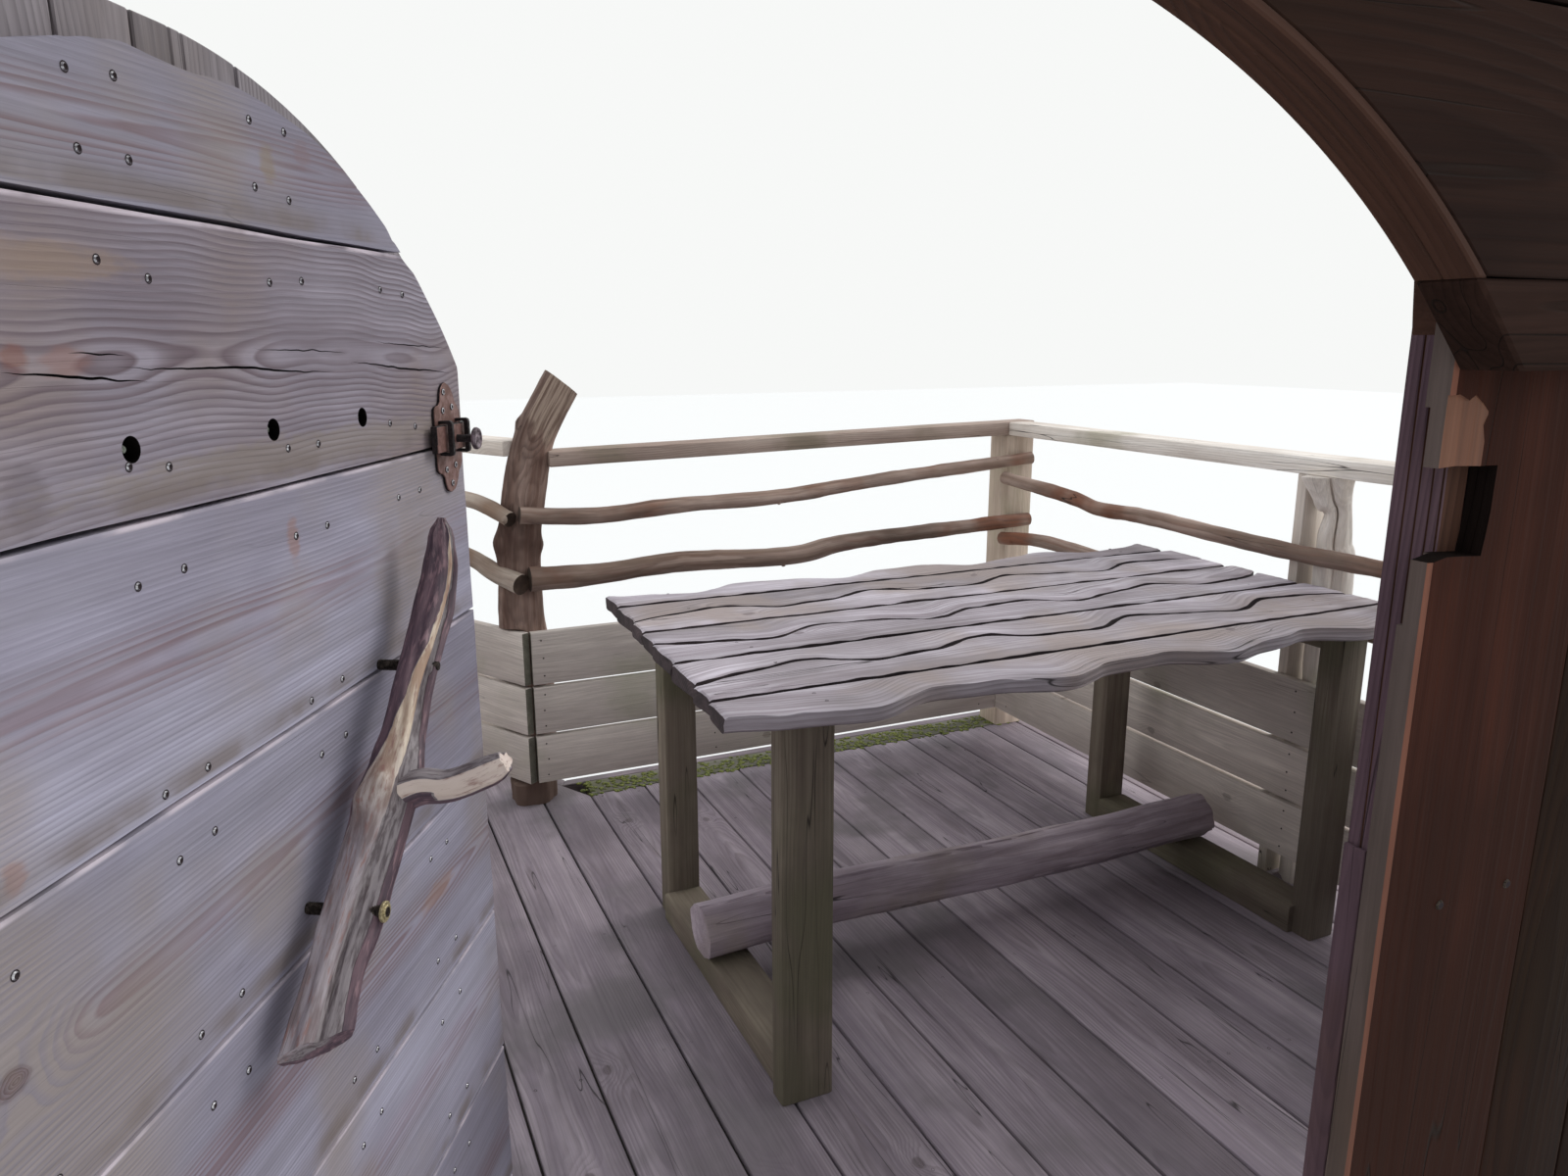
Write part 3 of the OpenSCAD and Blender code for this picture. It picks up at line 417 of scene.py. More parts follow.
deck_left, deck_right, deck_front, deck_reach, landing_reach = -1.12, 2.25, -0.09, 2.79, 3.50
board_t, board_gap = 0.028, 0.0055
pair_pitch = 0.146 + 0.1775
deck_wood = weathered_wood("deck_wood", "#aea2a9", "#928690", "#6c6269", "#64575a", stain="#766f72", stained=0.4,
                           ring_size=0.005, arches=0.07, knots=0.12, cracks=0.9, figure=0.45, roughness=0.72)
corner = Vector((0.387, 2.645))
landing_turn = math.radians(28.8)
landing_out = Vector((math.cos(landing_turn), math.sin(landing_turn), 0))
# Painted shade: near-black strips low in the narrow gaps stand for the shade down between the boards.
gap_shade = weathered_wood("gap_shade", "#3d3836", "#2f2a29", "#231f1e", "#2a2524", figure=0.1, knots=0.0, gloss=0.1)
deck_meshes = []
for first, width, count, length, number in (
        (0.1056 - 4 * pair_pitch, 0.146, 6, landing_reach - deck_front, 1),
        (0.2516 - 5 * pair_pitch + pair_pitch, 0.1775, 5, landing_reach - deck_front, 2),
        (0.5751, 0.1775, 6, 2.68 - deck_front, 3), (0.7526, 0.146, 5, 2.68 - deck_front, 4)):
    place = at(first + (count - 1) * pair_pitch + width - board_gap / 2, deck_front, -board_t) @ along_y
    row_mesh = boards(place, deck_wood, length, width - board_gap, board_t, count, pair_pitch, 0.004, 0.0026, number)
    gap_shade_strips = boards(place @ Matrix.Translation((0.002, -board_gap - 0.0005, 0.004)), gap_shade, length - 0.004, board_gap + 0.001,
                    0.012, count, pair_pitch, 0.0005, 0.0, number + 60)
    for mesh in (row_mesh, gap_shade_strips):
        cut_off(mesh, plan(deck_left, 0), (-1, 0, 0))
        cut_off(mesh, plan(deck_right, 0), (1, 0, 0))
        if number < 3:
            cut_off(mesh, plan(corner.x, corner.y) + 0.175 * landing_out, landing_out)
        deck_meshes.append(mesh)
joined("deck_boards_laid", deck_meshes, stands_for=["deck_boards"], bevel=0.0015)

# ---------------------------------------------------------------- screws
# Small domed screws of bright steel with a pit in the head for the driver, and plain dark nails,
# both driven a little into the wood.


def metal(name, bright, dull, roughness=0.4, patches=60.0, relief=0.0003, metallic=1.0):
    """Worn iron or steel: two tones in patches, rougher where it is dull."""
    finish = bpy.data.materials.new(name)
    finish.use_nodes = True
    tree = finish.node_tree
    shader = tree.nodes["Principled BSDF"]
    place = add_node(tree, "ShaderNodeTexCoord").outputs["Object"]
    patch = add_node(tree, "ShaderNodeTexNoise", {"Vector": place, "Scale": patches, "Detail": 5.0,
                                                  "Roughness": 0.65}).outputs[0]
    worn = steps(tree, patch, 0.38, 0.62)
    tree.links.new(blended(tree, worn, paint(bright), paint(dull)), shader.inputs["Base Color"])
    tree.links.new(maths(tree, "MULTIPLY_ADD", worn, 0.3, roughness), shader.inputs["Roughness"])
    shader.inputs["Metallic"].default_value = metallic
    bump = add_node(tree, "ShaderNodeBump", {"Strength": 0.6, "Distance": relief, "Height": patch})
    tree.links.new(bump.outputs[0], shader.inputs["Normal"])
    return finish


screw_steel = metal("screw_steel", "#dcdce0", "#85838a", 0.24, 900.0, 0.0001)
nail_iron = metal("nail_iron", "#4a4038", "#2c2521", 0.7, 700.0, 0.0001, 0.6)

# Sets one screw head on every point of a mesh; "facing" on a point is the way its head looks.
screw_heads = bpy.data.node_groups.new("screw_heads", "GeometryNodeTree")
screw_heads.interface.new_socket("Screws", in_out="OUTPUT", socket_type="NodeSocketGeometry")
for socket_name, kind in (("Spots", "Geometry"), ("Head Radius", "Float"), ("Shade Ring", "Float"), ("Seed", "Int"),
                          ("Finish", "Material"), ("Screw Hole Shade", "Material")):
    screw_heads.interface.new_socket(socket_name, in_out="INPUT", socket_type="NodeSocket" + kind)
tree = screw_heads
given = add_node(tree, "NodeGroupInput").outputs
dome = add_node(tree, "GeometryNodeMeshCone", {"Vertices": 12, "Side Segments": 1, "Radius Top": 0.72, "Radius Bottom": 1.0,
                                               "Depth": 0.42}, fill_type="NONE")
pit = add_node(tree, "GeometryNodeMeshCone", {"Vertices": 12, "Side Segments": 1, "Radius Top": 0.72, "Radius Bottom": 0.34,
                                              "Depth": 0.30}, fill_type="NONE")
pit = add_node(tree, "GeometryNodeTransform", {"Geometry": pit.outputs[0], "Translation": (0, 0, 0.12)})
pit = add_node(tree, "GeometryNodeFlipFaces", {"Mesh": pit.outputs[0]})
pit_floor = add_node(tree, "GeometryNodeMeshCircle", {"Vertices": 12, "Radius": 0.34}, fill_type="NGON")
pit_floor = add_node(tree, "GeometryNodeTransform", {"Geometry": pit_floor.outputs[0], "Translation": (0, 0, 0.12)})
under = add_node(tree, "GeometryNodeMeshCircle", {"Vertices": 12, "Radius": 1.0}, fill_type="NGON")
under = add_node(tree, "GeometryNodeFlipFaces", {"Mesh": under.outputs[0]})
pit, pit_floor = [add_node(tree, "GeometryNodeStoreNamedAttribute", {"Geometry": part.outputs[0], "Name": "screw_shade_face", "Value": 1.0},
                           data_type="FLOAT", domain="FACE") for part in (pit, pit_floor)]
head = add_node(tree, "GeometryNodeJoinGeometry")
for part in (dome, pit, pit_floor, under):
    tree.links.new(part.outputs[0], head.inputs[0])
head = add_node(tree, "GeometryNodeMergeByDistance", {"Geometry": head.outputs[0], "Distance": 0.001})
# A dark disc under each head, and the pit in it, take painted shade: the shade in the sunk hole round the screw.
shade_ring = add_node(tree, "GeometryNodeMeshCircle", {"Vertices": 12, "Radius": given["Shade Ring"]}, fill_type="NGON")
shade_ring = add_node(tree, "GeometryNodeTransform", {"Geometry": shade_ring.outputs[0], "Translation": (0, 0, 0.03)})
shade_ring = add_node(tree, "GeometryNodeStoreNamedAttribute", {"Geometry": shade_ring.outputs[0], "Name": "screw_shade_face", "Value": 1.0},
                  data_type="FLOAT", domain="FACE")
both = add_node(tree, "GeometryNodeJoinGeometry")
tree.links.new(head.outputs[0], both.inputs[0])
tree.links.new(shade_ring.outputs[0], both.inputs[0])
head = both
way = add_node(tree, "GeometryNodeInputNamedAttribute", {"Name": "facing"}, data_type="FLOAT_VECTOR").outputs[0]
turn = add_node(tree, "FunctionNodeAlignRotationToVector", {"Vector": way}, axis="Z").outputs[0]
spin = add_node(tree, "FunctionNodeRandomValue", {"Seed": given["Seed"]}, data_type="FLOAT").outputs[1]
spin = add_node(tree, "ShaderNodeCombineXYZ", {2: maths(tree, "MULTIPLY", spin, 6.28)}).outputs[0]
set_screws = add_node(tree, "GeometryNodeInstanceOnPoints", {
    "Points": given["Spots"], "Instance": head.outputs[0], "Rotation": turn,
    "Scale": add_node(tree, "ShaderNodeCombineXYZ", {0: given["Head Radius"], 1: given["Head Radius"],
                                                     2: given["Head Radius"]}).outputs[0]})
set_screws = add_node(tree, "GeometryNodeRotateInstances", {"Instances": set_screws.outputs[0], "Rotation": spin})
set_screws = add_node(tree, "GeometryNodeRealizeInstances", {0: set_screws.outputs[0]})
set_screws = add_node(tree, "GeometryNodeSetMaterial", {"Geometry": set_screws.outputs[0], "Material": given["Finish"]})
screw_shade_face = maths(tree, "GREATER_THAN", add_node(tree, "GeometryNodeInputNamedAttribute", {"Name": "screw_shade_face"},
                                               data_type="FLOAT").outputs[0], 0.5)
set_screws = add_node(tree, "GeometryNodeSetMaterial", {"Geometry": set_screws.outputs[0], "Selection": screw_shade_face,
                                                        "Material": given["Screw Hole Shade"]})
add_node(tree, "NodeGroupOutput", {0: set_screws.outputs[0]})


# Painted shade for the sunk holes round the screw heads and for the pits in them.
screw_shade_wood = weathered_wood("screw_shade_wood", "#4a4144", "#352e30", "#262021", "#2c2526", figure=0.2, knots=0.0, gloss=0.1)


def screws(spots, facing, head_radius=0.0045, finish=None, seed=1, shade_ring=1.0):
    """Screw heads at the spots, which all look the same way; shade_ring widens the painted shade round them."""
    dots = bpy.data.meshes.new("spots")
    dots.from_pydata([tuple(spot) for spot in spots], [], [])
    ways = dots.attributes.new("facing", "FLOAT_VECTOR", "POINT")
    ways.data.foreach_set("vector", list(Vector(facing).normalized()) * len(spots))
    return grown(screw_heads, {"Head Radius": head_radius, "Shade Ring": shade_ring, "Seed": seed, "Finish": finish or screw_steel,
                               "Screw Hole Shade": screw_shade_wood}, dots)


joist_lines = [-0.055, 0.42, 0.90, 1.38, 1.86, 2.34, 2.655]
dice = random.Random(4)
spots = []
for pair in range(-4, 7):
    for first, width in ((0.1056 + pair * pair_pitch, 0.146), (0.2516 + pair * pair_pitch, 0.1775)):
        for line in joist_lines + ([3.11, 3.465] if first < -0.12 else []):
            for x in (first + 0.03, first + width - 0.03):
                if deck_left + 0.02 < x < deck_right - 0.02:
                    spots.append(plan(x + dice.uniform(-0.004, 0.004), line + dice.uniform(-0.012, 0.012), -0.0016))
joined("deck_screws", [screws(spots, (0, 0, 1), 0.0042, nail_iron)])

# ---------------------------------------------------------------- rear edge board with moss
# One board across the ends of the others closes the deck at the rear. It stays wet, so moss grows
# on it in low cushions.
moss_wood = weathered_wood("moss_wood", "#8d8a7c", "#6f6d60", "#4f4e45", "#55524a", stain="#6b6a50", stained=0.35,
                           knots=0.1, moss=0.45, figure=0.3)
moss_green = bpy.data.materials.new("moss_green")
moss_green.use_nodes = True
tree = moss_green.node_tree
tuft = add_node(tree, "ShaderNodeTexNoise", {
    "Vector": add_node(tree, "ShaderNodeTexCoord").outputs["Object"], "Scale": 160.0, "Detail": 4.0}).outputs[0]
tree.links.new(blended(tree, steps(tree, tuft, 0.35, 0.65), paint("#474f28"), paint("#7d8440")),
               tree.nodes["Principled BSDF"].inputs["Base Color"])
tree.nodes["Principled BSDF"].inputs["Roughness"].default_value = 0.95
bump = add_node(tree, "ShaderNodeBump", {"Strength": 1.0, "Distance": 0.003, "Height": tuft})
tree.links.new(bump.outputs[0], tree.nodes["Principled BSDF"].inputs["Normal"])

# Low cushions of moss, scattered over a patch: small domes of uneven size, pressed together.
moss_tree = bpy.data.node_groups.new("moss_cushions", "GeometryNodeTree")
moss_tree.interface.new_socket("Moss", in_out="OUTPUT", socket_type="NodeSocketGeometry")
for socket_name, kind in (("Ground", "Geometry"), ("Density", "Float"), ("Size", "Float"), ("Seed", "Int"),
                          ("Finish", "Material")):
    moss_tree.interface.new_socket(socket_name, in_out="INPUT", socket_type="NodeSocket" + kind)
tree = moss_tree
given = add_node(tree, "NodeGroupInput").outputs
where = add_node(tree, "ShaderNodeTexNoise", {"Vector": add_node(tree, "GeometryNodeInputPosition").outputs[0],
                                              "Scale": 8.0, "Detail": 3.0}).outputs[0]
thick = maths(tree, "MULTIPLY", steps(tree, where, 0.54, 0.64), given["Density"])
growing = add_node(tree, "GeometryNodeDistributePointsOnFaces", {"Mesh": given["Ground"], "Density": thick,
                                                                 "Seed": given["Seed"]})
cushion = add_node(tree, "GeometryNodeMeshIcoSphere", {"Radius": 1.0, "Subdivisions": 2})
lumpy = add_node(tree, "ShaderNodeTexNoise", {"Vector": add_node(tree, "GeometryNodeInputPosition").outputs[0],
                                              "Scale": 2.2, "Detail": 2.0}).outputs["Color"]
cushion = add_node(tree, "GeometryNodeSetPosition", {
    "Geometry": cushion.outputs[0], "Offset": vectors(tree, "SUBTRACT", lumpy, (0.5, 0.5, 0.5))})
size = add_node(tree, "FunctionNodeRandomValue", {2: 0.45, 3: 1.0, "Seed": given["Seed"]}, data_type="FLOAT").outputs[1]
size = maths(tree, "MULTIPLY", size, given["Size"])
spread = add_node(tree, "GeometryNodeInstanceOnPoints", {
    "Points": growing.outputs[0], "Instance": cushion.outputs[0],
    "Scale": add_node(tree, "ShaderNodeCombineXYZ", {0: size, 1: size, 2: maths(tree, "MULTIPLY", size, 0.45)}).outputs[0]})
spread = add_node(tree, "GeometryNodeRealizeInstances", {0: spread.outputs[0]})
spread = add_node(tree, "GeometryNodeSetMaterial", {"Geometry": spread.outputs[0], "Material": given["Finish"]})
add_node(tree, "NodeGroupOutput", {0: spread.outputs[0]})

edge_board = boards(at(0.582, 2.688, -board_t), moss_wood, deck_right - 0.582, 0.102, board_t, rounding=0.004, seed=8)
joined("edge_board", [edge_board], stands_for=["rear_edge_board"], bevel=0.0015)
patch = bpy.data.meshes.new("patch")
ends = [plan(0.56, 2.672), plan(2.24, 2.672), plan(2.24, 2.785), plan(0.56, 2.785)]
patch.from_pydata([tuple(p) for p in ends], [], [(0, 1, 2, 3)])
moss = grown(moss_tree, {"Density": 6500.0, "Size": 0.0095, "Seed": 3, "Finish": moss_green}, patch)
joined("edge_moss", [moss])

# ---------------------------------------------------------------- rails
# Planed rails laid flat on the posts, weathered grey and painted near white as sunlit, with a crack here and there; the
# rear rail takes a darker copy as painted shade.
rail_wood = weathered_wood("rail_wood", "#f2ece4", "#ddd3c8", "#bdb0a4", "#a99a8d", stain="#b3ac99", stained=0.3,
                           knots=0.25, cracks=1.0, figure=0.35, roughness=0.85)
shaded_rail_wood = weathered_wood("shaded_rail_wood", "#bfaea2", "#a89488", "#8a766b", "#7b675c", stain="#857a68", stained=0.35,
                                  knots=0.25, cracks=1.0, figure=0.45, roughness=0.85)
rail_top, rail_w, rail_t, rail_drop = 1.114, 0.095, 0.045, 0.033
rail_rise = Matrix.Rotation(-math.atan2(rail_drop, 1.6), 4, "Y")
rear = boards(at(0.5, 2.67, rail_top - rail_t - rail_drop + 0.0005) @ rail_rise, shaded_rail_wood, 1.71, rail_w, rail_t,
              rounding=0.006, uneven=0.003, seed=11)
cut_off(rear, plan(2.21, 0), (1, 0, 0))
joined("rear_top_rail", [rear], stands_for=["rear_rail"], bevel=0.002)
for name, x, length, node, seed in (("right_top_rail", 2.195, 2.592, "right_rail", 12),
                                    ("left_top_rail", -0.97, 3.412, "left_rail", 13)):
    mesh = boards(at(x, 0.078, rail_top - rail_t) @ along_y, rail_wood, length, rail_w, rail_t, rounding=0.006,
                  uneven=0.003, seed=seed)
    joined(name, [mesh], stands_for=[node], bevel=0.002)
landing = Matrix.Translation(plan(corner.x, corner.y)) @ Matrix.Rotation(landing_turn, 4, "Z")
mesh = boards(landing @ Matrix.Translation((0.025 + rail_w, 0.07, rail_top - rail_t)) @ along_y, rail_wood, 0.79,
              rail_w, rail_t, rounding=0.006, uneven=0.003, seed=14)
joined("landing_top_rail", [mesh], stands_for=["landing_rail"], bevel=0.002)

# ---------------------------------------------------------------- square posts
# Squared timbers, green brown with algae, which stand on the deck under the rails.
leg_wood = weathered_wood("leg_wood", "#8b8070", "#72665a", "#584f46", "#54453c", stain="#65614d", stained=0.5,
                          knots=0.15, cracks=1.0, figure=0.35, arches=0.05)
post_wood = weathered_wood("post_wood", "#8b7b6a", "#6f6050", "#4f443a", "#4a3c30", stain="#5b5b40", stained=0.4,
                           knots=0.25, cracks=1.0, heart=0.012, ring_size=0.007)
post_h = rail_top - rail_t


def post(x, y, seed, turn=Matrix.Identity(4), finish=leg_wood):
    return boards(turn @ Matrix.Translation((x, y, 0)) @ upright, finish, post_h, 0.11, 0.11, rounding=0.008,
                  uneven=0.004, seed=seed)


on_deck = Matrix.Translation(plan(0, 0))
corner_wood = weathered_wood("corner_wood", "#e6d5c3", "#c6b3a2", "#9b8a7b", "#907a6d", stain="#ada58c", stained=0.4,
                             knots=0.2, cracks=1.0, figure=0.4, arches=0.05)
joined("corner_timber", [post(2.10, 2.67, 21, on_deck, corner_wood)], stands_for=["corner_post"], bevel=0.002)
joined("side_timbers", [post(-1.08, 1.64, 22, on_deck), post(-1.08, 3.38, 23, on_deck), post(0.025, 0.75, 24, landing)],
       stands_for=["side_posts"], bevel=0.002)

# ---------------------------------------------------------------- natural logs
# Peeled branches and thin trunks in their own crooked shapes, nailed between the posts. Stubs of
# twigs were left on them.
log_wood = weathered_wood("log_wood", "#bfa99c", "#927b6c", "#56463d", "#754a3c", stain="#7e4d36", stained=0.45,
                          ring_size=0.004, heart=0.004, arches=0.012, knots=0.2, cracks=1.0, figure=0.5)
peeled_log = bpy.data.node_groups.new("peeled_log", "GeometryNodeTree")
peeled_log.interface.new_socket("Log", in_out="OUTPUT", socket_type="NodeSocketGeometry")
for socket_name, kind in (("Line", "Geometry"), ("Sides", "Int"), ("Lumps", "Float"), ("Ridges", "Float"), ("Stubs", "Float"),
                          ("Seed", "Int"), ("Finish", "Material")):
    peeled_log.interface.new_socket(socket_name, in_out="INPUT", socket_type="NodeSocket" + kind)
tree = peeled_log
given = add_node(tree, "NodeGroupInput").outputs
line = add_node(tree, "GeometryNodeMeshToCurve", {0: given["Line"]})
line = add_node(tree, "GeometryNodeCurveSplineType", {"Curve": line.outputs[0]}, spline_type="CATMULL_ROM")
line = add_node(tree, "GeometryNodeResampleCurve", {"Curve": line.outputs[0], "Length": 0.016}, mode="LENGTH")
here = add_node(tree, "GeometryNodeInputPosition").outputs[0]
wide = add_node(tree, "GeometryNodeInputNamedAttribute", {"Name": "thick"}, data_type="FLOAT").outputs[0]
swell = add_node(tree, "ShaderNodeTexNoise", {"Vector": here, "Scale": 5.5, "Detail": 2.0}).outputs[0]
wide = maths(tree, "MULTIPLY", wide, maths(tree, "MULTIPLY_ADD", swell, given["Lumps"],
                                           maths(tree, "MULTIPLY_ADD", given["Lumps"], -0.62, 1.0)))
line = add_node(tree, "GeometryNodeStoreNamedAttribute", {"Geometry": line.outputs[0], "Name": "thick", "Value": wide},
                data_type="FLOAT", domain="POINT")
line = add_node(tree, "GeometryNodeStoreNamedAttribute", {
    "Geometry": line.outputs[0], "Name": "along", "Value": add_node(tree, "GeometryNodeSplineParameter").outputs["Length"]},
    data_type="FLOAT", domain="POINT")
line = add_node(tree, "GeometryNodeSetCurveRadius", {
    "Curve": line.outputs[0],
    "Radius": add_node(tree, "GeometryNodeInputNamedAttribute", {"Name": "thick"}, data_type="FLOAT").outputs[0]})
rim = add_node(tree, "GeometryNodeCurvePrimitiveCircle", {"Resolution": given["Sides"], "Radius": 1.0}, mode="RADIUS")
rim = add_node(tree, "GeometryNodeStoreNamedAttribute", {"Geometry": rim.outputs[0], "Name": "round", "Value": here},
               data_type="FLOAT_VECTOR", domain="POINT")
body = add_node(tree, "GeometryNodeCurveToMesh", {"Curve": line.outputs[0], "Profile Curve": rim.outputs[0],
                                                  "Fill Caps": True})
if "Scale" in body.inputs:
    tree.links.new(add_node(tree, "GeometryNodeInputNamedAttribute", {"Name": "thick"}, data_type="FLOAT").outputs[0],
                   body.inputs["Scale"])
round_place = add_node(tree, "ShaderNodeSeparateXYZ", {
    0: add_node(tree, "GeometryNodeInputNamedAttribute", {"Name": "round"}, data_type="FLOAT_VECTOR").outputs[0]}).outputs
thick_there = add_node(tree, "GeometryNodeInputNamedAttribute", {"Name": "thick"}, data_type="FLOAT").outputs[0]
grain = add_node(tree, "ShaderNodeCombineXYZ", {
    0: add_node(tree, "GeometryNodeInputNamedAttribute", {"Name": "along"}, data_type="FLOAT").outputs[0],
    1: maths(tree, "MULTIPLY", round_place[0], thick_there), 2: maths(tree, "MULTIPLY", round_place[1], thick_there)})
body = add_node(tree, "GeometryNodeStoreNamedAttribute", {"Geometry": body.outputs[0], "Name": "grain",
                                                          "Value": grain.outputs[0]},
                data_type="FLOAT_VECTOR", domain="POINT")
outward = add_node(tree, "GeometryNodeInputNormal").outputs[0]
wood_place = add_node(tree, "GeometryNodeInputNamedAttribute", {"Name": "grain"}, data_type="FLOAT_VECTOR").outputs[0]
wood_place = add_node(tree, "ShaderNodeVectorMath", {
    0: maths(tree, "MULTIPLY", given["Seed"], 1.37), 1: (1.0, 1.0, 1.0), 2: wood_place}, operation="MULTIPLY_ADD").outputs[0]
ridge = grain_noise(tree, wood_place, (9, 75, 75), 2.0).outputs[0]
lump = grain_noise(tree, wood_place, (14, 20, 20), 1.0).outputs[0]
relief = maths(tree, "MULTIPLY", maths(tree, "ADD", maths(tree, "SUBTRACT", ridge, 0.6),
                                       maths(tree, "SUBTRACT", lump, 0.6)), given["Ridges"])
body = add_node(tree, "GeometryNodeSetPosition", {
    "Geometry": body.outputs[0],
    "Offset": add_node(tree, "ShaderNodeVectorMath", {0: outward, "Scale": relief}, operation="SCALE").outputs[0]})
stub_spots = add_node(tree, "GeometryNodeDistributePointsOnFaces", {"Mesh": body.outputs[0], "Density": given["Stubs"],
                                                                    "Seed": given["Seed"]})
stub = add_node(tree, "GeometryNodeMeshCone", {"Vertices": 10, "Side Segments": 2, "Radius Top": 0.55, "Radius Bottom": 1.15,
                                               "Depth": 0.8}, fill_type="NGON")
stub = add_node(tree, "GeometryNodeTransform", {"Geometry": stub.outputs[0], "Translation": (0, 0, -0.35)})
stub_size = add_node(tree, "FunctionNodeRandomValue", {2: 0.007, 3: 0.013, "Seed": given["Seed"]}, data_type="FLOAT").outputs[1]
stubs = add_node(tree, "GeometryNodeInstanceOnPoints", {
    "Points": stub_spots.outputs[0], "Instance": stub.outputs[0], "Rotation": stub_spots.outputs["Rotation"],
    "Scale": add_node(tree, "ShaderNodeCombineXYZ", {0: stub_size, 1: stub_size, 2: stub_size}).outputs[0]})
stubs = add_node(tree, "GeometryNodeRealizeInstances", {0: stubs.outputs[0]})
whole = add_node(tree, "GeometryNodeJoinGeometry")
tree.links.new(body.outputs[0], whole.inputs[0])
tree.links.new(stubs.outputs[0], whole.inputs[0])
own_number = maths(tree, "FRACT", maths(tree, "MULTIPLY", given["Seed"], 0.377))
whole = add_node(tree, "GeometryNodeStoreNamedAttribute", {"Geometry": whole.outputs[0], "Name": "board", "Value": own_number},
                 data_type="FLOAT", domain="POINT")
whole = add_node(tree, "GeometryNodeRealizeInstances", {0: whole.outputs[0]})
whole = add_node(tree, "GeometryNodeSetMaterial", {"Geometry": whole.outputs[0], "Material": given["Finish"]})
add_node(tree, "NodeGroupOutput", {0: whole.outputs[0]})


end_wood = weathered_wood("end_wood", "#6b584b", "#4b3c33", "#2c231e", "#3a2b24", ring_size=0.003, heart=0.0, arches=0.0,
                          knots=0.0, cracks=1.0, figure=0.8)


def log(points, radii, finish, seed, sides=16, lumps=0.35, ridges=0.004, stubs=9.0):
    """A log along the points; radii are those of its two ends or of every point."""
    line = bpy.data.meshes.new("line")
    last = len(points) - 1
    line.from_pydata([tuple(p) for p in points], [(i, i + 1) for i in range(last)], [])
    if len(radii) == 2:
        radii = [radii[0] + (radii[1] - radii[0]) * i / last for i in range(last + 1)]
    thick = line.attributes.new("thick", "FLOAT", "POINT")
    thick.data.foreach_set("value", radii)
    mesh = grown(peeled_log, {"Sides": sides, "Lumps": lumps, "Ridges": ridges, "Stubs": stubs, "Seed": seed,
                              "Finish": finish}, line)
    mesh.materials.append(end_wood)
    for face in mesh.polygons:
        if len(face.vertices) == sides:
            face.material_index = len(mesh.materials) - 1
    return mesh


rear_y = 2.647
upper_line = [(0.398, 0.907), (0.619, 0.891), (0.877, 0.905), (1.222, 0.912), (1.593, 0.946), (2.182, 0.989)]
lower_line = [(0.417, 0.717), (0.613, 0.715), (0.873, 0.729), (1.148, 0.719), (1.295, 0.720), (1.444, 0.744),
              (1.761, 0.758), (2.182, 0.772)]
joined("rear_log_high", [log([plan(x, rear_y, z) for x, z in upper_line], (0.028, 0.023), log_wood, 31)],
       stands_for=["rear_upper_log"])
joined("rear_log_low", [log([plan(x, rear_y, z) for x, z in lower_line], (0.037, 0.036, 0.034, 0.033, 0.031, 0.029, 0.027, 0.026), log_wood, 32)],
       stands_for=["rear_lower_log"])
right_lines = [
    [(0.085, 0.884), (0.6, 0.888), (1.183, 0.880), (1.516, 0.878), (1.942, 0.889), (2.155, 0.884), (2.298, 0.903),
     (2.65, 0.924)],
    [(0.085, 0.718), (0.8, 0.730), (1.4, 0.722), (1.9, 0.726), (2.2, 0.734), (2.435, 0.736), (2.65, 0.710)]]
joined("right_side_logs", [log([plan(2.077, y, z) for y, z in line], (0.024, 0.024), log_wood, 33 + n)
                           for n, line in enumerate(right_lines)], stands_for=["right_logs"])
left_lines = [[(0.085, 0.890), (0.7, 0.902), (1.5, 0.884), (2.3, 0.896), (3.0, 0.880), (3.465, 0.892)],
              [(0.085, 0.716), (0.9, 0.702), (1.8, 0.722), (2.6, 0.706), (3.465, 0.724)]]
joined("left_side_logs", [log([plan(-0.947, y, z) for y, z in line], (0.024, 0.024), log_wood, 35 + n)
                          for n, line in enumerate(left_lines)], stands_for=["left_logs"])
landing_log_wood = weathered_wood("landing_log_wood", "#c9bcae", "#a8988c", "#75665a", "#84705f", stain="#7d6350", stained=0.35,
                                  ring_size=0.004, heart=0.004, arches=0.012, knots=0.2, cracks=1.0, figure=0.4)
landing_lines = [[(0.026, 0.892), (0.124, 0.921), (0.22, 0.935), (0.5, 0.950), (0.855, 0.960)],
                 [(-0.008, 0.705), (0.116, 0.728), (0.228, 0.760), (0.5, 0.790), (0.855, 0.803)]]
joined("landing_guard_logs", [log([landing @ Vector((0.002, y, z)) for y, z in line], (0.025 + 0.007 * n, 0.024), landing_log_wood,
                                  37 + n) for n, line in enumerate(landing_lines)], stands_for=["landing_logs"])

# ---------------------------------------------------------------- guard boards
# Three level boards close each side up to knee height. They are grey green and nailed near their
# ends and at each post, and their sawn upper edges catch the light.
board_wood = weathered_wood("board_wood", "#e0d6cc", "#cdc2ba", "#b1a69f", "#aa9e92", stain="#b3ae9c", stained=0.35,
                            ring_size=0.007, knots=0.3, cracks=0.4, figure=0.4)
guard_t = 0.025
guard_edges = ((0.082, 0.229), (0.239, 0.384), (0.394, 0.555))
guard_sides = {
    "rear_guard": (at(corner.x, 2.67) @ on_edge_x, 1.686, "rear_guard_boards", 41),
    "right_guard": (at(2.10 - guard_t, 0.078) @ on_edge_y, 2.592, "right_guard_boards", 44),
    "left_guard": (at(-0.97, 0.078) @ on_edge_y, 3.412, "left_guard_boards", 47),
    "landing_guard": (landing @ on_edge_y, 0.86, "landing_guard_boards", 50)}
board_ends = weathered_wood("board_ends", "#8d897a", "#737062", "#55534a", "#57534a", knots=0.0, cracks=1.0, figure=0.5)
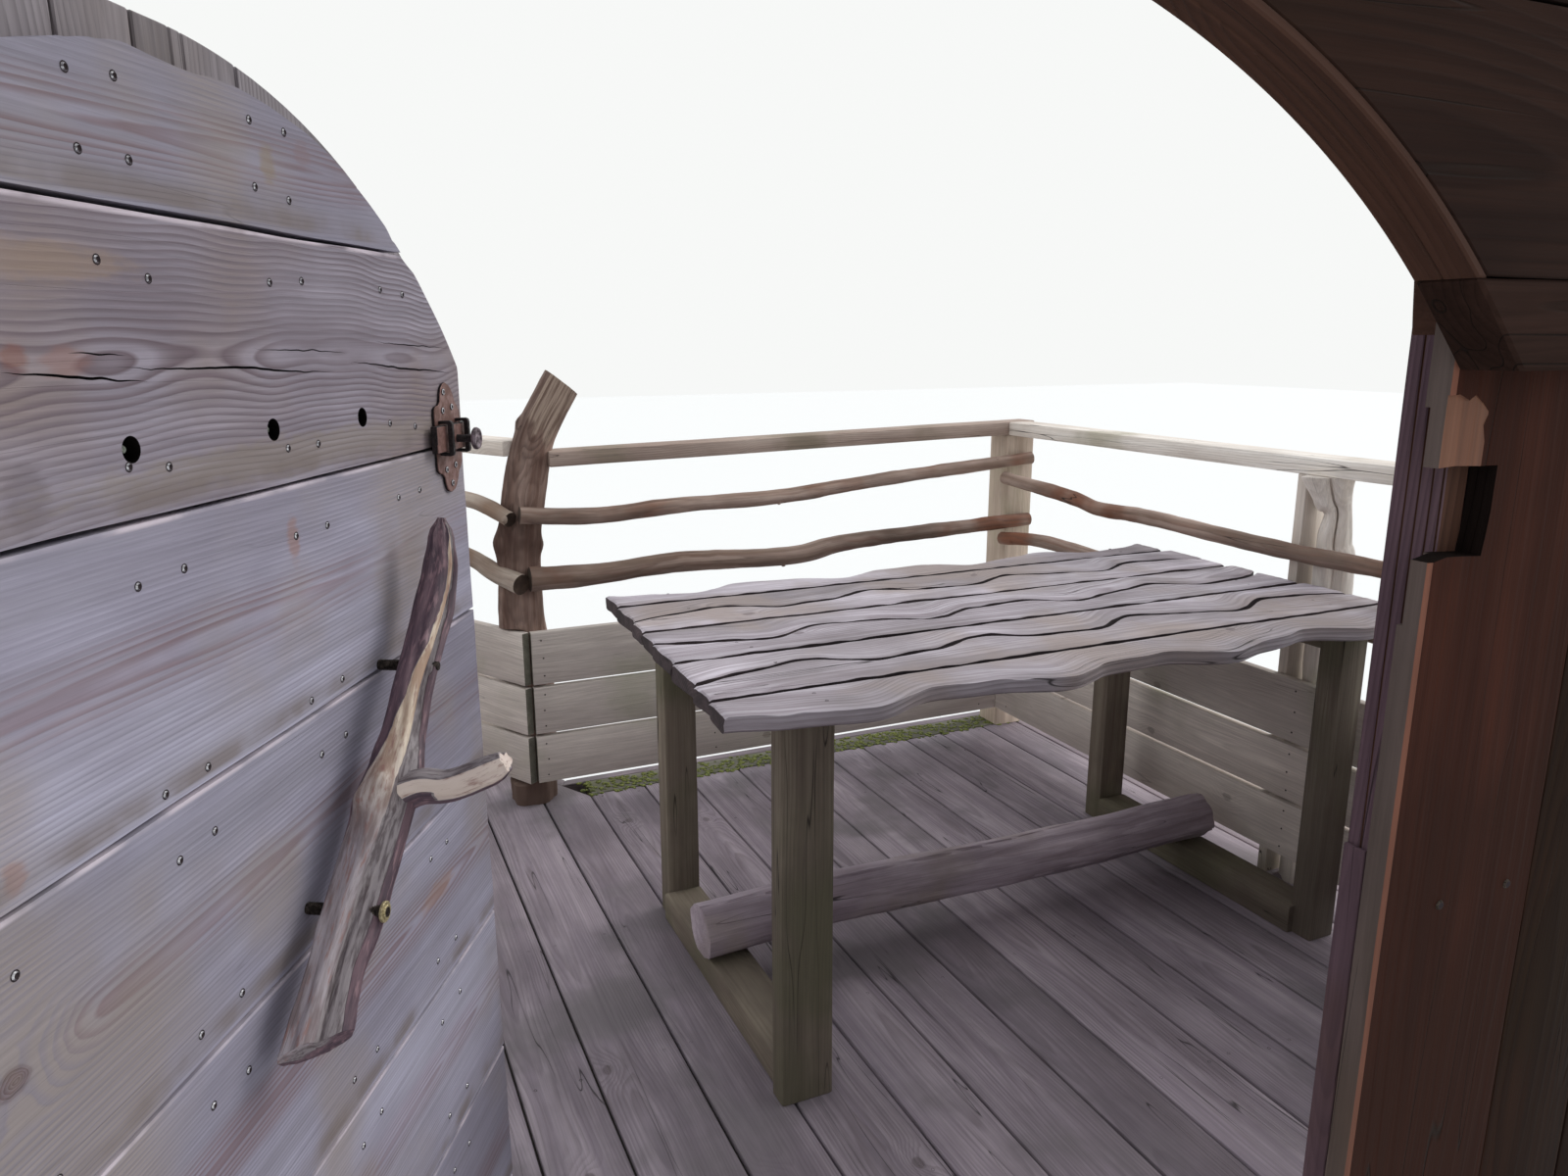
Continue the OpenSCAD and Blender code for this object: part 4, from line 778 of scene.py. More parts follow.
for name, (place, length, node, seed) in guard_sides.items():
    meshes = []
    for n, (low, high) in enumerate(guard_edges):
        mesh = boards(place @ Matrix.Translation((0, low, 0)), board_wood, length, high - low, guard_t, rounding=0.002,
                      uneven=0.002, seed=seed + n)
        if name == "rear_guard":
            cut_off(mesh, plan(corner.x + 0.0245, corner.y), (-1, 0, 0), board_ends)
        if name == "landing_guard":
            cut_off(mesh, landing @ Vector((0, 0.002, 0)), landing.to_3x3() @ Vector((0, -1, 0)), board_ends)
        meshes.append(mesh)
    joined(name, meshes, stands_for=[node], bevel=0.001)
nail_columns = {"rear_guard": (0.055, 0.6, 1.15, 1.62), "right_guard": (0.06, 0.7, 1.3, 1.95, 2.5),
                "left_guard": (0.06, 0.8, 1.6, 2.5, 3.35), "landing_guard": (0.035, 0.45, 0.80)}
nails = []
for name, (place, length, node, seed) in guard_sides.items():
    inner = guard_t if name in ("rear_guard", "left_guard", "landing_guard") else 0.0
    facing = place.to_3x3() @ Vector((0, 0, 1 if inner else -1))
    spots = [place @ Vector((x + dice.uniform(-0.004, 0.004), low + (high - low) * share, inner))
             for x in nail_columns[name] for low, high in guard_edges for share in (0.16, 0.5, 0.84)]
    nails.append(screws(spots, facing, 0.0026, nail_iron, seed))
joined("guard_nails", nails)

# ---------------------------------------------------------------- trunk post at the landing
# A whole young trunk with its knots and flutes left on. It stands on the deck, leans over at the
# top and is sawn off at a slant there.
trunk_wood = weathered_wood("trunk_wood", "#b59c8f", "#86695c", "#43322c", "#5a3d33", stain="#4a342d", stained=0.5,
                            ring_size=0.006, heart=0.0, arches=0.03, knots=0.35, cracks=1.0, figure=0.5, relief=0.003,
                            roughness=0.88)
tree = trunk_wood.node_tree
end = tree.nodes["Principled BSDF"].inputs["Base Color"]
fibre = grain_noise(tree, add_node(tree, "ShaderNodeAttribute", attribute_name="grain").outputs["Vector"], (6, 160, 160), 3.0,
                    0.6).outputs[0]
bare_face = blended(tree, steps(tree, fibre, 0.36, 0.64), paint("#6f5b50"), paint("#a08d7e"))
torn = grain_noise(tree, add_node(tree, "ShaderNodeAttribute", attribute_name="grain").outputs["Vector"], (9, 30, 30), 3.0).outputs[0]
bare = maths(tree, "MULTIPLY_ADD", torn, 1.6, add_node(tree, "ShaderNodeAttribute", attribute_name="bark").outputs["Fac"])
colour = blended(tree, steps(tree, bare, 1.3, 1.6), end.links[0].from_socket, bare_face)
up_trunk = add_node(tree, "ShaderNodeSeparateXYZ", {0: add_node(tree, "ShaderNodeTexCoord").outputs["Object"]}).outputs[2]
tree.links.new(blended(tree, steps(tree, up_trunk, deck_z + 0.02, deck_z + 0.34, 0.5, 0.0), colour, paint("#6b5a50")), end)


def limb(points, radii, finish, shape=None, bark=None, side=(1, 0, 0), sides=48, step=0.009, number=0.4):
    """Natural limb along the points. shape(along, angle) stands off the round, bark is its cover."""
    path, thick = [], []
    last = len(points) - 1
    for n in range(last):
        four = [Vector(points[min(max(n + k, 0), last)]) for k in (-1, 0, 1, 2)]
        count = max(int((four[2] - four[1]).length / step), 1)
        for part in range(count + (n == last - 1)):
            t = part / count
            path.append(0.5 * (2 * four[1] + (four[2] - four[0]) * t
                               + (2 * four[0] - 5 * four[1] + 4 * four[2] - four[3]) * t * t
                               + (3 * four[1] - four[0] - 3 * four[2] + four[3]) * t * t * t))
            ease = t * t * (3 - 2 * t)
            thick.append(radii[n] + (radii[n + 1] - radii[n]) * ease)
    places, grains, covers, faces = [], [], [], []
    across = Vector(side)
    along = 0.0
    rings = []
    for n, spot in enumerate(path):
        ahead = (path[min(n + 1, len(path) - 1)] - path[max(n - 1, 0)]).normalized()
        across = (across - ahead * across.dot(ahead)).normalized()
        around = ahead.cross(across)
        along += (spot - path[n - 1]).length if n else 0.0
        inner = [0.0, 0.34, 0.67] if n in (0, len(path) - 1) else []
        if n:
            inner.reverse()
        for share in ([1.0] if n and n < len(path) - 1 else (inner + [1.0] if not n else [1.0] + inner)):
            ring = []
            for k in range(sides if share else 1):
                angle = 2 * math.pi * k / sides
                radius = thick[n] + (shape(along, angle) if shape else 0.0)
                flat = Vector((math.cos(angle), math.sin(angle))) * radius * share
                ring.append(len(places))
                places.append(spot + across * flat.x + around * flat.y)
                grains.append((along, flat.x, flat.y))
                covers.append(bark(along, angle) if bark and share == 1.0 else 0.0)
            rings.append(ring)
    for low, high in zip(rings, rings[1:]):
        for k in range(sides):
            k1 = (k + 1) % sides
            if len(low) == 1:
                faces.append((low[0], high[k1], high[k]))
            elif len(high) == 1:
                faces.append((low[k], low[k1], high[0]))
            else:
                faces.append((low[k], low[k1], high[k1], high[k]))
    mesh = bpy.data.meshes.new("limb")
    mesh.from_pydata([tuple(p) for p in places], [], faces)
    mesh.attributes.new("grain", "FLOAT_VECTOR", "POINT").data.foreach_set("vector", [c for g in grains for c in g])
    mesh.attributes.new("board", "FLOAT", "POINT").data.foreach_set("value", [number] * len(places))
    mesh.attributes.new("bark", "FLOAT", "POINT").data.foreach_set("value", covers)
    mesh.materials.append(finish)
    return mesh


def knob(along, angle, spots):
    """Sum of round swellings; each spot is its place along, its angle in degrees, height and size."""
    rise = 0.0
    for place, turn, height, size, reach in spots:
        off = (angle - math.radians(turn) + math.pi) % (2 * math.pi) - math.pi
        near = ((along - place) / size) ** 2 + (off * reach / size) ** 2
        if near < 9:
            rise += height * math.exp(-near)
    return rise


trunk_line = [(0.409, 2.738, -0.02), (0.412, 2.740, 0.3), (0.412, 2.740, 0.4), (0.403, 2.738, 0.62), (0.412, 2.738, 0.8),
              (0.437, 2.738, 0.97), (0.474, 2.738, 1.12), (0.540, 2.740, 1.24), (0.600, 2.742, 1.34)]
trunk_knots = [(1.17, 185, 0.011, 0.018, 0.06), (1.10, 240, 0.008, 0.016, 0.06), (0.83, 340, 0.010, 0.024, 0.06),
               (0.83, 186, 0.016, 0.035, 0.06), (0.98, 250, 0.006, 0.05, 0.05), (0.60, 235, 0.007, 0.03, 0.06),
               (0.42, 300, 0.008, 0.03, 0.06), (1.22, 268, -0.009, 0.022, 0.06), (0.22, 110, 0.010, 0.03, 0.06),
               (0.70, 60, 0.011, 0.03, 0.06), (1.0, 130, 0.010, 0.025, 0.06)]


def trunk_shape(along, angle):
    turned = angle + 0.5 * along
    flutes = 0.0035 * math.sin(5 * turned + 1.1) + 0.0025 * math.sin(3 * turned + 2.0 + 1.7 * along)
    rough = noise.fractal(Vector((along * 9, math.cos(angle) * 2.6, math.sin(angle) * 2.6)), 1.0, 2.1, 3) * 0.0035
    strips = noise.noise(Vector((along * 5 + 4, math.cos(angle) * 7, math.sin(angle) * 7))) * 0.0022
    whole = flutes + rough + strips + knob(along, angle, trunk_knots) - 0.002
    facing = math.cos(angle - math.radians(255))
    if along > 1.06 and facing > 0.5:
        whole = min(whole, 0.043 / facing - 0.0605 + 0.2 * max(1.16 - along, 0.0) + 0.3 * rough)
    return whole


def sawn_flat(along, angle):
    """The trunk was sawn flat towards the room near its top, where it is bare."""
    return min(max((along - 1.08) / 0.12, 0.0), 1.0) if math.cos(angle - math.radians(262)) > 0.58 else 0.0


trunk = limb([plan(*p) for p in trunk_line], (0.068, 0.077, 0.074, 0.066, 0.062, 0.063, 0.058, 0.058, 0.054), trunk_wood,
             trunk_shape, sawn_flat, sides=72)
cut_off(trunk, plan(0.5594, 2.742, 1.2745), (0.643, 0, 0.766))
cut_off(trunk, plan(0, 0, 0), (0, 0, -1))
to_landing = landing.inverted()
for vertex in trunk.vertices:
    if 0.075 < vertex.co.z - deck_z < 0.558:
        vertex.co.y = max(vertex.co.y, plan(0, 2.671).y)
        off_boards = (to_landing @ vertex.co).x
        if off_boards < 0.026:
            vertex.co += (0.026 - off_boards) * landing_out
joined("trunk", [trunk], stands_for=["left_post"])

# ---------------------------------------------------------------- middle post of the right side
# A pale peeled limb, waisted and cracked, with an upright board behind it to carry the rail.
pale_limb = weathered_wood("pale_limb", "#f0e9e2", "#e2d9d0", "#c8bdb2", "#c0b0a3", stain="#b3ae9b", stained=0.3,
                           ring_size=0.008, heart=0.0, arches=0.03, knots=0.2, cracks=1.0, figure=0.3, relief=0.002)
post_line = [(2.156, 1.372, -0.02), (2.156, 1.372, 0.56), (2.15, 1.372, 0.842), (2.146, 1.376, 0.91),
             (2.146, 1.374, 0.98), (2.14, 1.386, 1.012), (2.128, 1.398, 1.08)]


def post_shape(along, angle):
    flutes = 0.003 * math.sin(4 * angle + 0.6 + along) + 0.002 * math.sin(7 * angle + 3 * along)
    crack = -0.012 * math.exp(-((((angle - math.radians(205) - 0.25 * along) + math.pi) % (2 * math.pi) - math.pi) / 0.05) ** 2)
    rough = noise.fractal(Vector((along * 8, math.cos(angle) * 2.2, math.sin(angle) * 2.2)), 1.0, 2.1, 3) * 0.003
    return flutes + crack + rough - 0.003


mid_limb = limb([plan(*p) for p in post_line], (0.052, 0.050, 0.050, 0.042, 0.034, 0.048, 0.066), pale_limb, post_shape,
                sides=64)
for point, away in (((0, 0, 0), (0, 0, -1)), ((0, 0, 1.069), (0, 0, 1)), ((0, 1.434, 0), (0, 1, 0))):
    cut_off(mid_limb, plan(*point), away)
mid_board = boards(at(2.10, 1.4343, 0) @ upright, rail_wood, post_h, 0.095, 0.0277, rounding=0.003, uneven=0.001, seed=61)
joined("mid_post", [mid_limb, mid_board], stands_for=["right_post"], bevel=0.001)

# ---------------------------------------------------------------- wall boards and their frame
# The cabin's front wall: a frame of squared timber with upright weathered boards outside and
# narrower ones inside, painted near black as shade, all nailed on with a small gap.
wall_wood = weathered_wood("wall_wood", "#9c9599", "#857e82", "#6b6568", "#5f585b", stain="#79706d", stained=0.35,
                           ring_size=0.005, knots=0.35, cracks=0.7, figure=0.6)
# Painted shade: the inner boards are coloured near black, as the shade inside the cabin.
lining_wood_in_shade = weathered_wood("lining_wood_in_shade", "#2c1a12", "#22130d", "#150a07", "#190c07", stain="#21150c", stained=0.5, gloss=0.08,
                             ring_size=0.007, knots=0.3, cracks=0.5, figure=0.55)
# Red-brown timber, painted darker than the wood itself as the shade inside the cabin.
frame_wood = weathered_wood("frame_wood", "#5d3f32", "#493025", "#33211a", "#3b241a", stain="#432e25", stained=0.5,
                            ring_size=0.006, heart=0.03, knots=0.2, cracks=0.8, figure=0.55, roughness=0.78, gloss=0.15)
wall_h = 2.1494
sides_of_wall = {"left": ((-1.08, -0.56, 4, 71), (-1.08, -0.662, 4, 72)), "right": ((0.56, 2.21, 12, 73), (0.662, 2.21, 14, 74))}
for side, (outside, inside) in sides_of_wall.items():
    for (x0, x1, count, seed), y, thick, finish, name in ((outside, 0.056, 0.022, wall_wood, "wall_boards"),
                                                          (inside, 0.0, 0.018, lining_wood_in_shade, "wall_lining")):
        pitch = (x1 - x0) / count
        mesh = boards(at(x0 + 0.0015, y, 0) @ upright, finish, wall_h, pitch - 0.003, thick, count, pitch,
                      rounding=0.0015, uneven=0.0014, seed=seed)
        rows = (0.12, 1.1, 2.03) if name == "wall_boards" else (0.1, 1.2, 2.05)
        spots = [plan(x0 + (k + share) * pitch, y + (thick if name == "wall_boards" else 0.0), z + dice.uniform(-0.01, 0.01))
                 for k in range(count) for share in (0.25, 0.75) for z in rows]
        nails = screws(spots, (0, 1 if name == "wall_boards" else -1, 0), 0.0034, nail_iron, seed)
        joined(side + "_" + name.replace("wall_boards", "outer_boards").replace("wall_lining", "inner_boards"),
               [mesh, nails], stands_for=[side + "_" + name], bevel=0.001)
frame_parts = [boards(at(x0, 0.018, z) @ Matrix(((1, 0, 0, 0), (0, 1, 0, 0), (0, 0, 1, 0), (0, 0, 0, 1))), frame_wood, x1 - x0,
                      0.038, 0.06, rounding=0.003, uneven=0.0, seed=80 + n)
               for n, (x0, x1, z) in enumerate(((-1.08, -0.64, 0), (0.64, 2.21, 0), (-1.08, 2.21, 2.09)))]
frame_parts += [boards(at(x, 0.018, 0.06) @ upright, frame_wood, 2.03, 0.06, 0.038, rounding=0.003, uneven=0.0, seed=84 + n)
                for n, x in enumerate((-1.08, 1.11, 1.62, 2.15))]
joined("wall_timbers", frame_parts, stands_for=["wall_frame"], bevel=0.0015)

# ---------------------------------------------------------------- door posts, casings and threshold
# The doorway has a grooved post at each side, set back behind a broad casing of red-brown wood painted very dark as
# shade.
# The right casing is notched for the bolt, and its upper corner has split off there.


def sawn(outline, low, high, finish, place, number=0.5, along=(1.0, 0.0), wobble=0.0007, longest=0.04):
    """Piece sawn to an outline, low to high thick, with its grain along the given direction."""
    edge = []
    for n, start in enumerate(outline):
        a, b = Vector(start), Vector(outline[(n + 1) % len(outline)])
        if (b - a).length < 1e-5:
            continue
        parts = max(math.ceil((b - a).length / longest), 1)
        out = Vector((b.y - a.y, a.x - b.x)).normalized()
        for k in range(parts):
            spot = a.lerp(b, k / parts)
            edge.append(spot + out * (wobble * noise.noise(Vector((spot.x * 9, spot.y * 9, number * 50))) if k else 0.0))
    count = len(edge)
    places = [(p.x, p.y, w) for w in (low, high) for p in edge]
    faces = [tuple(range(count))[::-1], tuple(range(count, 2 * count))]
    faces += [(k, (k + 1) % count, (k + 1) % count + count, k + count) for k in range(count)]
    mesh = bpy.data.meshes.new("sawn")
    mesh.from_pydata(places, [], faces)
    ax, ay = along
    sides = [p.y * ax - p.x * ay for p in edge]
    middle = (min(sides) + max(sides)) / 2
    grains = [c for x, y, z in places for c in (x * ax + y * ay, y * ax - x * ay - middle, z - low)]
    mesh["laid"] = (ax, ay, middle, low, number)
    mesh.attributes.new("grain", "FLOAT_VECTOR", "POINT").data.foreach_set("vector", grains)
    mesh.attributes.new("board", "FLOAT", "POINT").data.foreach_set("value", [number] * len(places))
    mesh.materials.append(finish)
    mesh.transform(place)
    work = bmesh.new()
    work.from_mesh(mesh)
    bmesh.ops.recalc_face_normals(work, faces=work.faces[:])
    work.to_mesh(mesh)
    work.free()
    return mesh


def carved(mesh, tools, place=None):
    """Cuts the tools out of a mesh, and lays the grain of a sawn piece afresh over the cut faces."""
    host = bpy.data.objects.new("host", mesh)
    scene.collection.objects.link(host)
    laid = tuple(mesh.get("laid", ()))
    helpers = []
    for tool in tools:
        helper = bpy.data.objects.new("tool", tool)
        scene.collection.objects.link(helper)
        cut = host.modifiers.new("cut", "BOOLEAN")
        cut.operation, cut.solver, cut.material_mode, cut.object = "DIFFERENCE", "EXACT", "TRANSFER", helper
        helpers.append(helper)
    bpy.context.view_layer.update()
    result = bpy.data.meshes.new_from_object(host.evaluated_get(bpy.context.evaluated_depsgraph_get()))
    for helper in helpers + [host]:
        shape = helper.data
        bpy.data.objects.remove(helper)
        bpy.data.meshes.remove(shape)
    if place is not None:
        ax, ay, middle, low, number = laid
        back = place.inverted()
        local = [back @ vertex.co for vertex in result.vertices]
        grains = [c for p in local for c in (p.x * ax + p.y * ay, p.y * ax - p.x * ay - middle, p.z - low)]
        result.attributes["grain"].data.foreach_set("vector", grains)
        result.attributes["board"].data.foreach_set("value", [number] * len(local))
    return result


def on_wall(y=0.0, z=0.0, x=0.0):
    """Place of an outline drawn in x and height above the deck, with its thickness along y."""
    return Matrix.Translation(plan(x, y, z)) @ Matrix(((1, 0, 0, 0), (0, 0, 1, 0), (0, 1, 0, 0), (0, 0, 0, 1)))


bolt_h = 1.284
# The post's face towards the doorway is weathered mauve grey, and painted lighter than the shaded frame as lit through
# the doorway.
reveal_wood = weathered_wood("reveal_wood", "#725c63", "#5f4b53", "#46373d", "#4e3b42", stain="#554242", stained=0.3,
                             ring_size=0.003, heart=0.03, knots=0.1, cracks=0.8, figure=0.6, gloss=0.1)
# Painted shade: near-black finish for the walls of the bolt's notch and mortise, where shade falls deep in the hole.
socket_shade = weathered_wood("socket_shade", "#1d1512", "#150e0c", "#0d0908", "#100b09", figure=0.2, knots=0.0, gloss=0.05)
door_post_parts = []
for x0, number in ((-0.64, 0.31), (0.53, 0.62)):
    timber = sawn([(x0, 0), (x0 + 0.11, 0), (x0 + 0.11, 2.09), (x0, 2.09)], 0.018, 0.056, frame_wood, on_wall(), number,
                  along=(0, 1))
    tools = []
    if x0 > 0:
        tools.append(sawn([(0.552, bolt_h - 0.026), (0.60, bolt_h - 0.026), (0.60, bolt_h + 0.034), (0.552, bolt_h + 0.034)],
                          0.0, 0.07, socket_shade, on_wall(), wobble=0.0))
    inner = 0.53 if x0 > 0 else -0.53
    way = 1 if x0 > 0 else -1
    for y in (0.0203, 0.0275, 0.0365, 0.0455):
        groove = [(inner - 0.002 * way, y - 0.0014), (inner + 0.0022 * way, y), (inner - 0.002 * way, y + 0.0014)]
        tools.append(sawn(groove if way > 0 else groove[::-1], -0.1, 2.2, frame_wood, Matrix.Translation(plan(0, 0)),
                          wobble=0.0, longest=9.0))
    timber = carved(timber, tools, on_wall())
    if x0 > 0:
        timber.materials.append(reveal_wood)
        for face in timber.polygons:
            if face.normal.x < -0.9:
                face.material_index = len(timber.materials) - 1
        door_post_parts.append(sawn([(0.038, 0.041), (0.056, 0.041), (0.056, 1.031), (0.038, 1.031)], 0.0, 0.0036, reveal_wood,
                                    Matrix.Translation(plan(0.5265, 0)) @ on_edge_y, 0.8, (0, 1)))
    door_post_parts.append(timber)
joined("doorway_posts", door_post_parts, stands_for=["door_posts"], bevel=0.001)

# Painted shade: the casing is coloured far darker than its wood, as the shade inside the cabin.
casing_wood_in_shade = weathered_wood("casing_wood_in_shade", "#3f2016", "#31170f", "#210f09", "#250f09", stain="#2a140c", stained=0.5,
                             ring_size=0.014, heart=0.03, knots=0.3, cracks=0.9, figure=0.3, roughness=0.78, gloss=0.08)
notch_low, notch_high = bolt_h - 0.026, bolt_h + 0.034
left_casing = sawn([(-0.662, 0), (-0.5, 0), (-0.5, 1.432), (-0.662, 1.432)], 0, 0.018, casing_wood_in_shade, on_wall(), 0.18, (0, 1))
right_casing = sawn([(0.5, 0), (0.662, 0), (0.662, 1.432), (0.5, 1.432), (0.5, notch_high), (0.514, notch_high + 0.001),
                     (0.553, notch_high), (0.5525, notch_high - 0.03), (0.551, notch_low + 0.014), (0.549, notch_low),
                     (0.515, notch_low + 0.002), (0.5, notch_low - 0.001)], 0, 0.018, casing_wood_in_shade, on_wall(), 0.77, (0, 1),
                    longest=0.02)
split = [(0.49, notch_high - 0.005), (0.538, notch_high - 0.005), (0.5365, 1.332), (0.533, 1.345), (0.5365, 1.353),
         (0.529, 1.359), (0.522, 1.364), (0.516, 1.3605), (0.506, 1.3645), (0.49, 1.363)]
split_wood = weathered_wood("split_wood", "#7a5542", "#684535", "#4a2f23", "#573626", stain="#5e3928", stained=0.4,
                            ring_size=0.009, knots=0.0, cracks=0.6, figure=0.5, roughness=0.75)
split = sawn(split, -0.02, 0.0, split_wood, on_wall(), wobble=0.0)
tilt = (Matrix.Translation(plan(0.536, 0, 1.33)) @ Matrix.Rotation(math.radians(-5.6), 4, "Z")
        @ Matrix.Translation(-plan(0.536, 0, 1.33)))
split.transform(tilt)
# The casing's side towards the doorway is weathered grey, and painted lighter than the shaded face as lit through the
# doorway.
greyed_lit_edge = weathered_wood("greyed_lit_edge", "#635651", "#574a46", "#3f352f", "#453833", stain="#514238", stained=0.4,
                             ring_size=0.012, knots=0.1, cracks=0.7, figure=0.4)
rebate = sawn([(0.49, bolt_h - 0.072), (0.517, bolt_h - 0.072), (0.517, bolt_h + 0.072), (0.49, bolt_h + 0.072)], 0.014, 0.03,
              greyed_lit_edge, on_wall(), wobble=0.0)
# The edge towards the doorway is greyed and painted lighter as lit, and a thin orange-brown strip at its corner is a
# painted highlight on the arris.
arris_highlight_wood = weathered_wood("arris_highlight_wood", "#815340", "#6f4638", "#543327", "#5d392b", stain="#623f31", stained=0.3,
                             ring_size=0.01, knots=0.0, cracks=0.3, figure=0.3, roughness=0.7)
arris_highlight_strip = sawn([(0.499, -0.001), (0.5034, -0.001), (0.499, 0.0034)], -0.1, 1.5, arris_highlight_wood, Matrix.Translation(plan(0, 0)), wobble=0.0,
           longest=9.0)
right_casing = carved(right_casing, [split, rebate, arris_highlight_strip], on_wall())
for finish in (greyed_lit_edge, socket_shade):
    right_casing.materials.append(finish)
for face in right_casing.polygons:
    spot = face.center - plan(0, 0)
    if spot.x > 0.5008 and notch_low - 0.003 < spot.z < notch_high + 0.003 and abs(face.normal.y) < 0.5:
        face.material_index = len(right_casing.materials) - 1
    # Faces towards the doorway: weathered grey, painted lighter as lit.
    elif face.normal.x < -0.9 and spot.x < 0.502:
        face.material_index = len(right_casing.materials) - 2
casing_nails = screws([plan(x, 0, z) for x in (-0.63, -0.53, 0.56, 0.635) for z in (0.12, 0.55, 1.0, 1.39)], (0, -1, 0), 0.0038,
                      nail_iron, 9)
joined("doorway_casings", [left_casing, right_casing, casing_nails], stands_for=["door_casings"],
       bevel=0.0016)
sill_parts = [boards(at(-0.5, 0.0, 0.0), deck_wood, 1.0, 0.018, 0.04, rounding=0.003, uneven=0.0, seed=88),
              boards(at(-0.53, 0.018, 0.0), deck_wood, 1.06, 0.038, 0.04, rounding=0.003, uneven=0.0, seed=89)]
joined("door_sill", sill_parts, stands_for=["threshold"], bevel=0.001)

# ---------------------------------------------------------------- arch over the doorway
# A bent rib carries the inside of the arch on two corbels. A solid head stands behind it, and level
# boards on battens close the corners above, with upright boards outside.
arch_flat, arch_mid, arch_foot = 0.037, 0.985, 1.432


def arch_x(radius, z):
    """Half the width of the arch at the height z."""
    rise = max(radius ** 2 - max(z - arch_mid, 0.0) ** 2, 0.0)
    return arch_flat + math.sqrt(rise)


def arch_points(radius, z, parts=48):
    """The arch from its right foot at height z over the top to its left foot."""
    first = math.asin((z - arch_mid) / radius)
    half = [(first + (math.pi / 2 - first) * k / parts) for k in range(parts + 1)]
    right = [(arch_flat + radius * math.cos(a), arch_mid + radius * math.sin(a)) for a in half]
    return right + [(-x, y) for x, y in reversed(right)]


def bent(inner, outer, low, high, finish, z, number):
    """A curved piece between two arches, whose grain follows the bend."""
    rows = list(zip(arch_points(inner, z), arch_points(outer, z)))
    places, grains, faces = [], [], []
    along = 0.0
    for n, (a, b) in enumerate(rows):
        along += math.dist(b, rows[n - 1][1]) if n else 0.0
        for spot, w, off in ((a, low, 0.0), (b, low, outer - inner), (b, high, outer - inner), (a, high, 0.0)):
            places.append((spot[0], spot[1], w))
            grains.append((along, off, w - low))
    for n in range(len(rows) - 1):
        for k in range(4):
            faces.append((4 * n + k, 4 * n + (k + 1) % 4, 4 * n + 4 + (k + 1) % 4, 4 * n + 4 + k))
    faces += [(3, 2, 1, 0), tuple(len(places) - 4 + k for k in range(4))]
    mesh = bpy.data.meshes.new("bent")
    mesh.from_pydata(places, [], faces)
    mesh.attributes.new("grain", "FLOAT_VECTOR", "POINT").data.foreach_set("vector", [c for g in grains for c in g])
    mesh.attributes.new("board", "FLOAT", "POINT").data.foreach_set("value", [number] * len(places))
    mesh.materials.append(finish)
    mesh.transform(on_wall())
    work = bmesh.new()
    work.from_mesh(mesh)
    bmesh.ops.recalc_face_normals(work, faces=work.faces[:])
    work.to_mesh(mesh)
    work.free()
    return mesh


rib = [bent(0.608, 0.670, -0.018, 0.0, frame_wood, arch_foot, 0.44), bent(0.608, 0.614, -0.040, -0.0182, frame_wood, arch_foot, 0.47)]
joined("bent_rib", rib, stands_for=["arch_rib"], bevel=0.0012)
front_head = sawn([(0.662, arch_foot), (0.662, wall_h), (-0.662, wall_h), (-0.662, arch_foot)]
                  + arch_points(0.629, arch_foot)[::-1], 0.0, 0.018, frame_wood, on_wall(), 0.52)
back_head = sawn([(0.53, 1.4), (0.53, 2.09), (-0.53, 2.09), (-0.53, 1.4)] + [
    p for p in arch_points(0.666, 1.4)[::-1] if abs(p[0]) < 0.5299], 0.018, 0.056, frame_wood, on_wall(), 0.58)
joined("solid_head", [front_head, back_head], stands_for=["arch_head"], bevel=0.001)
battens = [boards(at(x, -0.018, arch_foot) @ upright, frame_wood, wall_h - arch_foot, 0.05, 0.018, rounding=0.001, uneven=0.0,
                  seed=90 + n) for n, x in enumerate((-0.662, 0.612))]
battens.append(boards(at(-0.612, 0.0, wall_h - 0.05) @ on_edge_x, frame_wood, 1.224, 0.05, 0.018, rounding=0.001, uneven=0.0,
                      seed=92))
joined("battens", battens, stands_for=["lining_battens"], bevel=0.001)
# Painted shade: the boards above the arch are coloured near black, as the shade inside the cabin.
row_wood_in_shade = weathered_wood("row_wood_in_shade", "#311f18", "#261712", "#180d0a", "#1c0f0b", stain="#251a10", stained=0.5, gloss=0.08,
                          ring_size=0.007, knots=0.3, cracks=0.5, figure=0.55)
rows, row_pitch = [], (wall_h - arch_foot) / 5
for n in range(5):
    z0, z1 = arch_foot + n * row_pitch + 0.001, arch_foot + (n + 1) * row_pitch - 0.001
    if n == 0:
        flank = [(arch_x(0.614, z0 + (z1 - z0) * k / 8), z0 + (z1 - z0) * k / 8) for k in range(9)]
        rows.append(sawn([(0.662, z0), (0.662, z1)] + flank[::-1], -0.04, -0.018, row_wood_in_shade, on_wall(), 0.21))
        rows.append(sawn([(-0.662, z1), (-0.662, z0)] + [(-x, z) for x, z in flank], -0.04, -0.018, row_wood_in_shade, on_wall(), 0.63))
    elif n == 1:
        rows.append(sawn([(0.662, z0), (0.662, z1), (-0.662, z1), (-0.662, z0)] + arch_points(0.614, z0)[::-1], -0.04, -0.018,
                         row_wood_in_shade, on_wall(), 0.38))
    else:
        rows.append(sawn([(0.662, z0), (0.662, z1), (-0.662, z1), (-0.662, z0)], -0.04, -0.018, row_wood_in_shade, on_wall(),
                         0.1 + 0.26 * n))
